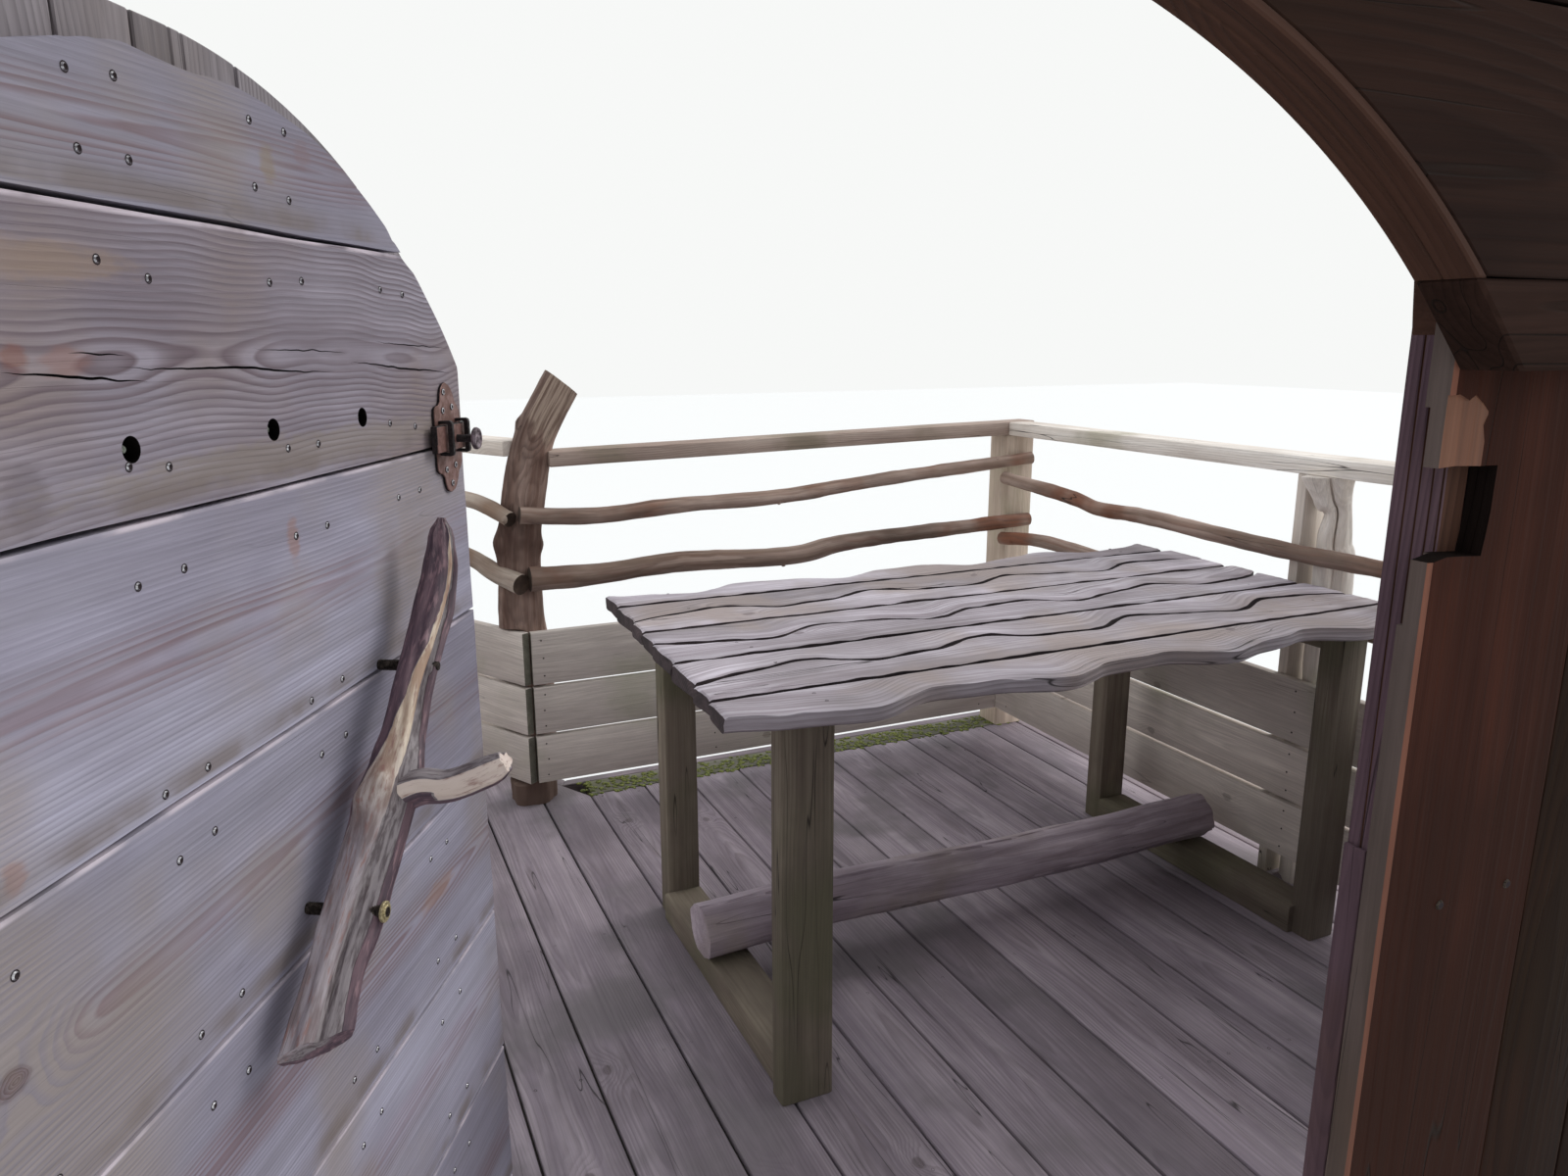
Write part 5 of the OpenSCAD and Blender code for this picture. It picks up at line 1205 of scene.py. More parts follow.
row_nails = screws([plan(x, -0.04, arch_foot + (n + share) * row_pitch) for n in range(5) for share in (0.25, 0.75)
                    for x in (-0.638, 0.638)], (0, -1, 0), 0.0036, nail_iron, 12)
joined("corner_boards", rows + [row_nails], stands_for=["arch_lining_boards"], bevel=0.0015)
corbel = [(0.449, arch_foot), (0.5, 1.38), (0.63, 1.38), (0.63, arch_foot)]
# Painted shade: the corbels are coloured near black, as the shade inside the cabin.
corbel_wood_in_shade = weathered_wood("corbel_wood_in_shade", "#3c2a24", "#2f201b", "#1e1410", "#241712", stain="#2d1f18", stained=0.4,
                             heart=0.03, knots=0.2, cracks=0.8, figure=0.5, gloss=0.04)
corbel_parts = [sawn(corbel, -0.04, 0.0, corbel_wood_in_shade, on_wall(), 0.35, longest=0.02),
                sawn([(-x, z) for x, z in corbel[::-1]], -0.04, 0.0, corbel_wood_in_shade, on_wall(), 0.66, longest=0.02)]
joined("corbel_blocks", corbel_parts, stands_for=["corbels"], bevel=0.002)
uppers = []
for n in range(8):
    x0 = -0.5585 + 0.14 * n
    foot_line = [(x0 + 0.137 * k / 8, arch_mid + math.sqrt(0.695 ** 2 - max(abs(x0 + 0.137 * k / 8) - arch_flat, 0.0) ** 2))
                 for k in range(9)]
    uppers.append(sawn(foot_line + [(x0 + 0.137, wall_h), (x0, wall_h)], 0.056, 0.078, wall_wood, on_wall(), 0.13 * n % 1, (0, 1)))
joined("upper_boards", uppers, stands_for=["head_boards"], bevel=0.001)

# ---------------------------------------------------------------- pintles
# Forged iron pins on plates, screwed to the left door post, on which the two straps turn.
iron = metal("iron", "#4a423d", "#2b2624", 0.5, 240.0, 0.0004, 0.85)


def turned(profile, finish, place, sides=28):
    """Turned piece: the profile is a list of radius and height up the axis, closed at both ends."""
    places = [(r * math.cos(2 * math.pi * k / sides), r * math.sin(2 * math.pi * k / sides), z)
              for r, z in profile for k in range(sides)]
    faces = [(n * sides + k, n * sides + (k + 1) % sides, (n + 1) * sides + (k + 1) % sides, (n + 1) * sides + k)
             for n in range(len(profile) - 1) for k in range(sides)]
    faces += [tuple(range(sides))[::-1], tuple(range(len(places) - sides, len(places)))]
    mesh = bpy.data.meshes.new("turned")
    mesh.from_pydata(places, [], faces)
    mesh.materials.append(finish)
    mesh.transform(place)
    return mesh


hinge_x, hinge_y, hinge_heights = -0.535, 0.078, (0.3, 1.323)
pins = []
for n, h in enumerate(hinge_heights):
    pins.append(sawn([(hinge_x - 0.022, h - 0.074), (hinge_x + 0.004, h - 0.074), (hinge_x + 0.004, h - 0.029),
                      (hinge_x - 0.022, h - 0.029)], 0.056, 0.061, iron, on_wall(), wobble=0.0))
    pins.append(sawn([(hinge_x - 0.009, h - 0.041), (hinge_x + 0.003, h - 0.041), (hinge_x + 0.003, h - 0.029),
                      (hinge_x - 0.009, h - 0.029)], 0.060, 0.078, iron, on_wall(), wobble=0.0))
    pins.append(turned([(0.006, -0.041), (0.006, 0.024), (0.0045, 0.028)], iron, at(hinge_x, hinge_y, h), 20))
    pins.append(screws([plan(hinge_x - 0.014, 0.061, h - 0.064), plan(hinge_x - 0.002, 0.061, h - 0.064)], (0, 1, 0), 0.004,
                       nail_iron, 30 + n))
joined("pintles", pins, stands_for=["hinge_pintles"], bevel=0.0008)

# ---------------------------------------------------------------- door leaf
# Eight level planks of silver-grey larch on the inside, screwed to eight upright boards that stand
# above them round the arch. The second plank has split along its heart, and nuts sit in its holes.
door_wood = weathered_wood("door_wood", "#a9a7b9", "#9795a2", "#7d7886", "#6b4a49", stain="#8f8582", stained=0.4,
                           ring_size=0.0042, arches=0.055, heart=0.016, knots=0.07, cracks=0.2, figure=0.6, relief=0.0006,
                           roughness=0.74, flush=1.0)
bold_wood = weathered_wood("bold_wood", "#a29ca8", "#8b8590", "#6c6169", "#5f5057", stain="#847570", stained=0.35,
                           ring_size=0.0056, arches=0.05, heart=0.018, swing=4.5, knots=0.25, cracks=0.1, figure=0.95, relief=0.0011,
                           roughness=0.76, flush=0.8)
door_turn = math.radians(60.7)
swing = (Matrix.Translation(plan(hinge_x, hinge_y)) @ Matrix.Rotation(door_turn, 4, "Z")
         @ Matrix.Translation(-plan(hinge_x, hinge_y)))


def on_leaf(y=0.0, z=0.0, x=0.0):
    """Place of an outline drawn on the closed leaf, turned open with the door."""
    return swing @ on_wall(y, z, x)


def leaf_spot(x, y, z):
    return swing @ plan(x, y, z)


# Where a place is on the leaf, and the wear that every plank joint has: a pale worn edge under it and
# a brown damp band above it.
joint_wear = bpy.data.node_groups.new("joint_wear", "ShaderNodeTree")
joint_wear.interface.new_socket("Place", in_out="INPUT", socket_type="NodeSocketVector")
joint_wear.interface.new_socket("Leaf Place", in_out="OUTPUT", socket_type="NodeSocketVector")
for socket_name in ("Worn Edge", "Damp"):
    joint_wear.interface.new_socket(socket_name, in_out="OUTPUT", socket_type="NodeSocketFloat")
tree = joint_wear
place = add_node(tree, "NodeGroupInput").outputs["Place"]
along_leaf = swing.to_3x3() @ Vector((1, 0, 0))
leaf_x = add_node(tree, "ShaderNodeVectorMath", {0: place, 1: along_leaf}, operation="DOT_PRODUCT").outputs["Value"]
leaf_x = maths(tree, "SUBTRACT", leaf_x, leaf_spot(0, 0, 0).dot(along_leaf))
leaf_z = maths(tree, "SUBTRACT", add_node(tree, "ShaderNodeSeparateXYZ", {0: place}).outputs[2], deck_z)
share = maths(tree, "FRACT", maths(tree, "DIVIDE", maths(tree, "SUBTRACT", leaf_z, 1.491), 0.218))
broken = add_node(tree, "ShaderNodeTexNoise", {"Vector": place, "Scale": 13.0, "Detail": 3.0}).outputs[0]
worn = maths(tree, "MULTIPLY", steps(tree, share, 0.968, 0.982), steps(tree, broken, 0.36, 0.6, 0.1, 0.8))
damp = maths(tree, "MULTIPLY", steps(tree, share, 0.015, 0.04), steps(tree, share, 0.06, 0.15, 1.0, 0.0))
damp = maths(tree, "MULTIPLY", damp, steps(tree, broken, 0.34, 0.64, 0.12, 0.7))
add_node(tree, "NodeGroupOutput", {
    0: add_node(tree, "ShaderNodeCombineXYZ", {0: leaf_x, 1: leaf_z}).outputs[0], 1: worn, 2: damp})

# A ragged stain on the leaf: its middle and half size are given in the leaf's own place.
leaf_stain = bpy.data.node_groups.new("leaf_stain", "ShaderNodeTree")
for socket_name in ("Leaf Place", "Middle", "Half Size"):
    leaf_stain.interface.new_socket(socket_name, in_out="INPUT", socket_type="NodeSocketVector")
leaf_stain.interface.new_socket("Strength", in_out="INPUT", socket_type="NodeSocketFloat")
leaf_stain.interface.new_socket("Stain", in_out="OUTPUT", socket_type="NodeSocketFloat")
tree = leaf_stain
given = add_node(tree, "NodeGroupInput").outputs
off = vectors(tree, "DIVIDE", vectors(tree, "SUBTRACT", given["Leaf Place"], given["Middle"]), given["Half Size"])
off = add_node(tree, "ShaderNodeVectorMath", {0: off}, operation="LENGTH").outputs["Value"]
ragged = grain_noise(tree, given["Leaf Place"], (40, 150, 1), 3.0).outputs[0]
off = maths(tree, "MULTIPLY_ADD", ragged, 1.1, off)
add_node(tree, "NodeGroupOutput", {0: maths(tree, "MULTIPLY", steps(tree, off, 1.0, 1.6, 1.0, 0.0), given["Strength"])})
stains = {
    bold_wood: [(0.108, 1.222, 0.012, 0.026, "#94654a", 0.45), (-0.182, 1.389, 0.014, 0.012, "#7d4a3a", 0.5),
                (-0.140, 1.386, 0.028, 0.012, "#8a6258", 0.45), (-0.19, 1.303, 0.024, 0.030, "#54484b", 0.35),
                (0.16, 1.300, 0.40, 0.020, "#857a6d", 0.5), (-0.16, 1.45, 0.12, 0.016, "#9d8468", 0.35)],
    door_wood: [(0.130, 1.547, 0.015, 0.020, "#86755a", 0.5), (0.190, 1.564, 0.018, 0.014, "#7f6b70", 0.5),
                (0.108, 1.222, 0.012, 0.026, "#94654a", 0.45), (-0.248, 1.075, 0.012, 0.014, "#8f5f45", 0.4),
                (0.345, 0.741, 0.06, 0.016, "#93705a", 0.45)]}
for finish, spots in stains.items():
    tree = finish.node_tree
    end = tree.nodes["Principled BSDF"].inputs["Base Color"]
    colour = end.links[0].from_socket
    wear = add_node(tree, "ShaderNodeGroup", {"Place": add_node(tree, "ShaderNodeTexCoord").outputs["Object"]},
                    node_tree=joint_wear)
    for x, z, half_x, half_z, code, strength in spots:
        stain = add_node(tree, "ShaderNodeGroup", node_tree=leaf_stain)
        tree.links.new(wear.outputs["Leaf Place"], stain.inputs["Leaf Place"])
        stain.inputs["Middle"].default_value = (x, z, 0)
        stain.inputs["Half Size"].default_value = (half_x, half_z, 1)
        stain.inputs["Strength"].default_value = strength
        colour = blended(tree, stain.outputs[0], colour, paint(code))
    colour = blended(tree, wear.outputs["Damp"], colour, paint("#6f635d"))
    tree.links.new(blended(tree, wear.outputs["Worn Edge"], colour, paint("#d2c6cf")), end)


def eased(along, table):
    """Value at a place, from a list of places and values."""
    for (s0, v0), (s1, v1) in zip(table, table[1:]):
        if along <= s1:
            t = min(max((along - s0) / (s1 - s0), 0.0), 1.0)
            return v0 + (v1 - v0) * t * t * (3 - 2 * t)
    return table[-1][1]


leaf_half, leaf_foot, leaf_in, leaf_mid, leaf_out = 0.521, 0.048, 0.023, 0.050, 0.072
joints = [1.491 - 0.218 * n for n in range(7)]

# The top plank was sawn to the arch by hand, and the second one has a worn free edge.
crown = [(-0.25, 0.0), (-0.156, -0.012), (-0.131, -0.010), (-0.103, -0.006), (-0.073, -0.002), (-0.043, 0.002), (0.009, 0.0),
         (0.04, -0.001), (0.062, 0.002), (0.101, 0.004), (0.159, 0.005), (0.214, 0.007), (0.254, 0.007), (0.3, 0.004),
         (0.351, 0.003), (0.371, -0.003), (0.41, 0.0)]
free_edge = [(1.275, 0.001), (1.365, 0.002), (1.405, 0.0015), (1.445, 0.0), (1.472, 0.0015), (1.483, -0.006), (1.491, -0.008)]
planks = []
for n in range(8):
    low = joints[n] + 0.002 if n < 7 else leaf_foot
    high = joints[n - 1] - 0.002 if n else None
    if n == 0:
        outline = [(x, z + (eased(x, crown) if z > low + 0.01 else 0.0)) for x, z in arch_points(0.615, low)]
    else:
        heights = [low + (high - low) * k / 40 for k in range(41)]
        flank = [(min(leaf_half, arch_x(0.615, z)), z) for z in heights]
        free = [(x + (eased(z, free_edge) if n == 1 else 0.002 * noise.noise(Vector((n * 3.7, z * 14, 0))) - 0.001), z)
                for x, z in flank]
        outline = free + [(-x, z) for x, z in reversed(flank)]
    planks.append(sawn(outline, leaf_in, leaf_mid, bold_wood if n == 1 else door_wood, on_leaf(), (0.37 + 0.29 * n) % 1,
                       wobble=0.0012, longest=0.03))


def blade(line, width, depth):
    """A crooked blade along a line on the leaf's inner face, for cutting a crack; the crack's walls take its painted
    shade.
    """
    places, faces = [], []
    for n, (x, z) in enumerate(line):
        open_by = width * math.sin(math.pi * (n + 0.15) / (len(line) - 0.7)) / 2
        places += [(x, leaf_in - 0.002, z + open_by), (x, leaf_in - 0.002, z - open_by), (x, leaf_in + depth, z)]
    for n in range(len(line) - 1):
        faces += [(3 * n + k, 3 * n + (k + 1) % 3, 3 * n + 3 + (k + 1) % 3, 3 * n + 3 + k) for k in range(3)]
    faces += [(2, 1, 0), tuple(len(places) - 3 + k for k in range(3))]
    mesh = bpy.data.meshes.new("blade")
    mesh.from_pydata([tuple(plan(*p)) for p in places], [], faces)
    mesh.materials.append(crack_shade)
    mesh.transform(swing)
    work = bmesh.new()
    work.from_mesh(mesh)
    bmesh.ops.recalc_face_normals(work, faces=work.faces[:])
    work.to_mesh(mesh)
    work.free()
    return mesh


# Painted shade: the walls of the cut cracks are coloured dark, as the shade in them.
crack_shade = weathered_wood("crack_shade", "#3b3133", "#2b2325", "#1d1819", "#241c1c", figure=0.2, knots=0.0)
crack_lines = [(-0.196, -0.061, 1.379, -0.008, 3), (-0.092, 0.213, 1.382, -0.013, 5), (0.242, 0.498, 1.377, -0.017, 9),
               (-0.137, -0.081, 1.391, 0.0, 12), (0.078, 0.240, 1.392, -0.005, 15), (0.306, 0.493, 1.397, -0.008, 18)]
# Painted shade: the bolt holes are lined near black, as the shade deep in them.
bolt_hole_shade = weathered_wood("bolt_hole_shade", "#141010", "#0e0b0b", "#080606", "#0b0808", figure=0.1, knots=0.0, gloss=0.05)
nut_steel = metal("nut_steel", "#8f958c", "#5c5f58", 0.4, 500.0, 0.0001, 0.8)
tools = []
for first, last, z, rise, seed in crack_lines:
    steps_along = 44
    line = []
    for k in range(steps_along):
        x = first + (last - first) * k / (steps_along - 1)
        wander = 0.0035 * noise.noise(Vector((x * 9, seed, 0))) + 0.0012 * noise.noise(Vector((x * 60, seed, 3)))
        line.append((x, z + rise * k / steps_along + wander))
    tools.append(blade(line, 0.0024 if seed < 10 else 0.0014, 0.012))
nut_spots = [(-0.089, 1.324), (0.095, 1.323), (0.261, 1.322)]
for x, z in nut_spots:
    tools.append(turned([(0.0098, 0.0), (0.0098, 0.022), (0.0108, 0.026)], bolt_hole_shade,
                        swing @ at(x, leaf_in + 0.020, z) @ Matrix.Rotation(math.radians(90), 4, "X"), 24))
planks[1] = carved(planks[1], tools, on_leaf())
lower_nuts = [(-0.089, 0.300), (0.095, 0.300), (0.261, 0.301)]
tools = [turned([(0.0098, 0.0), (0.0098, 0.022), (0.0108, 0.026)], bolt_hole_shade,
                swing @ at(x, leaf_in + 0.020, z) @ Matrix.Rotation(math.radians(90), 4, "X"), 24) for x, z in lower_nuts]
planks[6] = carved(planks[6], tools, on_leaf())
spots = []
for n in range(8):
    low = joints[n] + 0.002 if n < 7 else leaf_foot
    high = joints[n - 1] - 0.002 if n else 1.616
    for x in (-0.47, -0.42, -0.31, -0.26, -0.10, -0.05, 0.112, 0.165, 0.328, 0.380):
        for z in (low + {0: 0.028, 2: 0.016, 3: 0.024}.get(n, 0.034), high - 0.041):
            if abs(x) < arch_x(0.615, z) - 0.03:
                spots.append(leaf_spot(x + dice.uniform(-0.006, 0.006), leaf_in - 0.0001, z + dice.uniform(-0.006, 0.006)))
off_leaf = swing.to_3x3() @ Vector((0, -1, 0))
door_screws = screws(spots, off_leaf, 0.0030, screw_steel, 5, shade_ring=1.3)
nuts = []
for x, z in nut_spots + lower_nuts:
    place = swing @ at(x, leaf_in + 0.0203, z) @ Matrix.Rotation(math.radians(90), 4, "X")
    nuts.append(turned([(0.0055, 0.0), (0.0055, 0.0100), (0.0049, 0.0110)], nut_steel, place, 6))
    nuts.append(turned([(0.0030, 0.0105), (0.0030, 0.0140), (0.0024, 0.0146)], nut_steel, place, 16))
joined("leaf_planks", planks + [door_screws] + nuts, body="door", stands_for=["door_planks"], bevel=0.0026)

outers = []
seams = [(-leaf_half, 0.0), (-0.392, 0.0015), (-0.283, 0.0015), (-0.175, 0.0015), (-0.070, 0.0015), (0.011, 0.0015), (0.056, 0.0005),
         (0.071, 0.0005), (0.143, 0.0015), (0.352, 0.0015), (leaf_half, 0.0)]
for n, ((left_seam, left_gap), (right_seam, right_gap)) in enumerate(zip(seams, seams[1:])):
    x0, x1 = left_seam + left_gap, right_seam - right_gap
    top_line = [(x0 + (x1 - x0) * k / 8, arch_mid + math.sqrt(0.653 ** 2 - max(abs(x0 + (x1 - x0) * k / 8) - arch_flat, 0.0) ** 2))
                for k in range(9)]
    outers.append(sawn([(x0, leaf_foot), (x1, leaf_foot)] + top_line[::-1], leaf_mid + 0.0002, leaf_out, wall_wood, on_leaf(),
                       (0.21 + 0.37 * n) % 1, (0, 1), wobble=0.0009, longest=0.03))
joined("leaf_outer_boards", outers, body="door", stands_for=["door_outer_boards"], bevel=0.0014)

# ---------------------------------------------------------------- strap hinges
# Two long forged straps lie across the outside of the leaf. Coach bolts hold them, and each ends
# in an eye on its pintle.
straps = []
for n, h in enumerate(hinge_heights):
    outline = [(hinge_x + 0.004, -0.022), (-0.36, -0.022), (0.30, -0.013), (0.315, -0.018), (0.330, -0.022), (0.345, -0.012),
               (0.352, 0.0), (0.345, 0.012), (0.330, 0.022), (0.315, 0.018), (0.30, 0.013), (-0.36, 0.022),
               (hinge_x + 0.004, 0.022)]
    straps.append(sawn(outline, leaf_out, leaf_out + 0.0058, iron, on_leaf(z=h), wobble=0.0006))
    eye = turned([(0.0118, -0.022), (0.012, -0.020), (0.012, 0.020), (0.0118, 0.022)], iron, swing @ at(hinge_x, hinge_y, h), 36)
    bore = turned([(0.0065, -0.03), (0.0065, 0.03)], iron, swing @ at(hinge_x, hinge_y, h), 30)
    straps.append(carved(eye, [bore]))
    for x in (-0.43, -0.089, 0.095, 0.261, 0.33):
        straps.append(turned([(0.010, 0.0), (0.0095, 0.002), (0.007, 0.0042), (0.003, 0.0052)], iron,
                             swing @ at(x, leaf_out + 0.0056, h) @ Matrix.Rotation(math.radians(-90), 4, "X"), 20))
joined("strap_hinge_irons", straps, body="door", stands_for=["strap_hinges"], bevel=0.0007)

# ---------------------------------------------------------------- branch handle
# A split and hollowed branch is the pull handle. Dark bark is left on its outer side, the bare
# wood is cream and grey, and a cut side branch points into the room.
branch_wood = bpy.data.materials.new("branch_wood")
branch_wood.use_nodes = True
tree = branch_wood.node_tree
grain = add_node(tree, "ShaderNodeAttribute", attribute_name="grain").outputs["Vector"]
cover = add_node(tree, "ShaderNodeAttribute", attribute_name="bark").outputs["Fac"]
pattern = add_node(tree, "ShaderNodeGroup", {"Grain": grain, "Board": 0.3, "Ring Size": 0.003, "Arches": 0.01,
                                             "Heart Depth": 0.0, "Knots": 0.5, "Cracks": 0.8}, node_tree=weathered_grain)
torn = grain_noise(tree, grain, (14, 90, 90), 4.0, 0.6).outputs[0]
fleck = grain_noise(tree, grain, (38, 260, 260), 3.0, 0.6).outputs[0]
edge_of = maths(tree, "MULTIPLY_ADD", maths(tree, "SUBTRACT", torn, 0.5), 0.55, cover)
up_branch = add_node(tree, "ShaderNodeSeparateXYZ", {0: grain}).outputs[0]
bare = blended(tree, steps(tree, torn, 0.36, 0.62), paint("#a98d78"), paint("#dccdb8"))
silvered = blended(tree, steps(tree, torn, 0.36, 0.62), paint("#685d63"), paint("#978f98"))
bare = blended(tree, steps(tree, up_branch, 0.20, 0.36, 0.9, 0.0), bare, silvered)
is_twig = maths(tree, "GREATER_THAN", add_node(tree, "ShaderNodeAttribute", attribute_name="board").outputs["Fac"], 0.55)
bare = blended(tree, maths(tree, "MULTIPLY", is_twig, 0.75), bare, paint("#e2d0c2"))
bare = blended(tree, steps(tree, fleck, 0.52, 0.7, 0.0, 0.75), bare, paint("#8a625a"))
bare = blended(tree, maths(tree, "MULTIPLY", pattern.outputs["Crack"], 0.8), bare, paint("#3a2a28"))
hollow = blended(tree, steps(tree, fleck, 0.4, 0.64), paint("#8c8486"), paint("#5c5255"))
hollow = blended(tree, steps(tree, torn, 0.56, 0.68, 0.0, 0.8), hollow, paint("#4a3c3b"))
skin = blended(tree, steps(tree, torn, 0.36, 0.66), paint("#453540"), paint("#6b545c"))
skin = blended(tree, steps(tree, fleck, 0.5, 0.68, 0.0, 0.7), skin, paint("#92747a"))
colour = blended(tree, steps(tree, edge_of, 0.16, 0.24), bare, hollow)
colour = blended(tree, steps(tree, edge_of, 0.55, 0.68), colour, skin)
shader = tree.nodes["Principled BSDF"]
tree.links.new(colour, shader.inputs["Base Color"])
shader.inputs["Roughness"].default_value = 0.6
relief = maths(tree, "MULTIPLY_ADD", steps(tree, edge_of, 0.5, 0.72), 1.1, maths(tree, "MULTIPLY_ADD", fleck, 0.5, torn))
bump = add_node(tree, "ShaderNodeBump", {"Strength": 0.8, "Distance": 0.0012, "Height": relief})
tree.links.new(bump.outputs[0], shader.inputs["Normal"])

branch_line = [(-0.052, 0.770), (-0.012, 0.806), (0.005, 0.824), (0.024, 0.843), (0.055, 0.870), (0.112, 0.920),
               (0.143, 0.950), (0.173, 0.980), (0.200, 1.010), (0.225, 1.044), (0.254, 1.073), (0.290, 1.110),
               (0.316, 1.150), (0.325, 1.186), (0.330, 1.207)]
branch_radii = (0.028, 0.028, 0.026, 0.025, 0.0275, 0.028, 0.028, 0.025, 0.021, 0.020, 0.020, 0.021, 0.019, 0.0135, 0.003)
branch_knots = [(0.262, 150, 0.006, 0.013, 0.026), (0.275, 200, 0.005, 0.010, 0.026), (0.255, 232, 0.005, 0.009, 0.026),
                (0.285, 170, 0.004, 0.016, 0.026), (0.432, 205, 0.003, 0.008, 0.02), (0.30, 268, 0.004, 0.02, 0.024)]

groove_turn = [(0.0, 226), (0.15, 228), (0.27, 236), (0.35, 246), (0.45, 254), (0.56, 262)]
groove_half = [(0.0, 36), (0.15, 36), (0.25, 28), (0.35, 20), (0.45, 15), (0.56, 11)]
groove_deep = [(0.0, 0.015), (0.15, 0.014), (0.24, 0.008), (0.30, 0.007), (0.38, 0.009), (0.48, 0.008), (0.535, 0.006),
               (0.56, 0.0)]
bare_width = [(0.0, 92), (0.2, 88), (0.27, 70), (0.33, 58), (0.39, 38), (0.45, 22), (0.50, 16), (0.55, 20), (0.575, 6)]


def turn_between(angle, middle):
    return (angle - math.radians(middle) + math.pi) % (2 * math.pi) - math.pi


def branch_shape(along, angle):
    off = turn_between(angle, eased(along, groove_turn)) / math.radians(eased(along, groove_half))
    groove = -eased(along, groove_deep) * math.exp(-abs(off) ** 3.2)
    flat_by = 0.75 * (1 - min(max((along - 0.16) / 0.1, 0.0), 1.0))
    face = math.cos(turn_between(angle, 182))
    radius = 0.0275
    flat_cut = min(0.0, 0.62 * radius / max(face, 0.2) - radius) * flat_by if face > 0.2 else 0.0
    rough = 0.0012 * noise.fractal(Vector((along * 16, math.cos(angle) * 2.4, math.sin(angle) * 2.4)), 1.0, 2.0, 3)
    ribs = 0.0007 * math.sin(9 * angle + 4 * noise.noise(Vector((along * 7, angle, 0))))
    return groove + flat_cut + rough + ribs + knob(along, angle, branch_knots)


def branch_cover(along, angle):
    middle, half = eased(along, groove_turn), eased(along, groove_half)
    off = math.degrees(turn_between(angle, middle))
    if abs(off) < half * 0.9:
        return 0.38
    if -half - eased(along, bare_width) < off < 0:
        return 0.0
    return 1.0


branch = limb([plan(x, leaf_in - 0.046, z) for x, z in branch_line], branch_radii, branch_wood, branch_shape, branch_cover,
              side=(0.75, 0, -0.65), sides=96, step=0.006)
cut_off(branch, plan(-0.018, leaf_in - 0.046, 0.791), (-0.5955, -0.515, -0.6166))


def twig_shape(along, angle):
    wave = 0.0016 * math.sin(3 * angle + 12 * along) + 0.0010 * math.sin(6 * angle - 20 * along)
    return wave + 0.0012 * noise.fractal(Vector((along * 22, math.cos(angle) * 2, math.sin(angle) * 2)), 1.0, 2.0, 3)


def twig_cover(along, angle):
    upper = math.sin(angle)
    if upper > 0.55:
        return 0.36
    return 0.9 if along < 0.05 and upper < -0.2 or upper < -0.9 else 0.0


twig_line = [(0.150, -0.023, 0.952), (0.158, -0.053, 0.964), (0.160, -0.086, 0.966), (0.160, -0.126, 0.983),
             (0.160, -0.143, 0.993)]
twig = limb([plan(*p) for p in twig_line], (0.019, 0.0172, 0.0155, 0.0145, 0.010), branch_wood, twig_shape, twig_cover,
            side=(1, 0, 0), sides=56, step=0.005, number=0.7)
for mesh in (branch, twig):
    mesh.transform(swing)
joined("pull_branch", [branch, twig], body="door", stands_for=["branch_handle"])

# Threaded rods carry the branch clear of the leaf; the lower one ends in a washer and nut.
washer_zinc = metal("washer_zinc", "#c9bd97", "#8d8264", 0.45, 500.0, 0.0001, 0.7)
rods = []
for x, z, reach in ((0.248, 1.061, 0.066), (0.064, 0.878, 0.079)):
    thread = [(0.0060 if k % 2 else 0.0053, 0.001 + k * 0.0009) for k in range(int((reach - 0.002) / 0.0009))]
    rods.append(turned([(0.0053, 0.0)] + thread + [(0.0045, reach)], iron,
                       swing @ at(x, leaf_in, z) @ Matrix.Rotation(math.radians(90), 4, "X"), 18))
end = swing @ at(0.064, leaf_in - 0.0745, 0.878) @ Matrix.Rotation(math.radians(90), 4, "X")
rods.append(turned([(0.0098, 0.0), (0.010, 0.0004), (0.010, 0.0022), (0.0096, 0.0026)], washer_zinc, end, 32))
rods.append(turned([(0.0072, 0.0022), (0.0072, 0.0035), (0.0066, 0.004)], washer_zinc, end, 6))
joined("threaded_rods", rods, body="door", stands_for=["handle_rods"])

# ---------------------------------------------------------------- slide bolt
# A forged plate, painted brown, is screwed to the leaf's free edge. Two square loops on it hold a
# flat bar, and a round knob on a short neck slides it; loops, neck and the sides are painted shade.
plate_paint = metal("plate_paint", "#7d5a54", "#66473f", 0.42, 60.0, 0.0001, 0.2)
# Dark iron made near black as painted shade; it colours the loops, the knob's neck and the sides of plate and bar.
shaded_bolt_iron = metal("shaded_bolt_iron", "#2e2628", "#1b1718", 0.42, 260.0, 0.0003, 0.5)
knob_paint = metal("knob_paint", "#80727a", "#4c4045", 0.4, 160.0, 0.0002, 0.4)
plate_line = [(0, 67), (-7, 65.5), (-13, 61), (-17, 54), (-19, 45), (-24, 41), (-32, 40), (-37, 37), (-38, 30), (-38, -30),
              (-37, -37), (-32, -40), (-24, -42), (-19, -46), (-17, -54), (-13, -61), (-7, -65), (0, -66), (9, -64),
              (16, -59), (22, -51), (26, -43), (32, -38), (37, -32), (38, -24), (38, 24), (37, 32), (32, 38), (26, 43),
              (22, 51), (16, 59), (9, 64)]
bolt_y = leaf_in - 0.0085


def shade_unlit_sides(mesh):
    """Paints the faces that don't look into the room near black, as painted shade."""
    mesh.materials.append(shaded_bolt_iron)
    for face in mesh.polygons:
        if face.normal.dot(off_leaf) < 0.7:
            face.material_index = 1
    return mesh


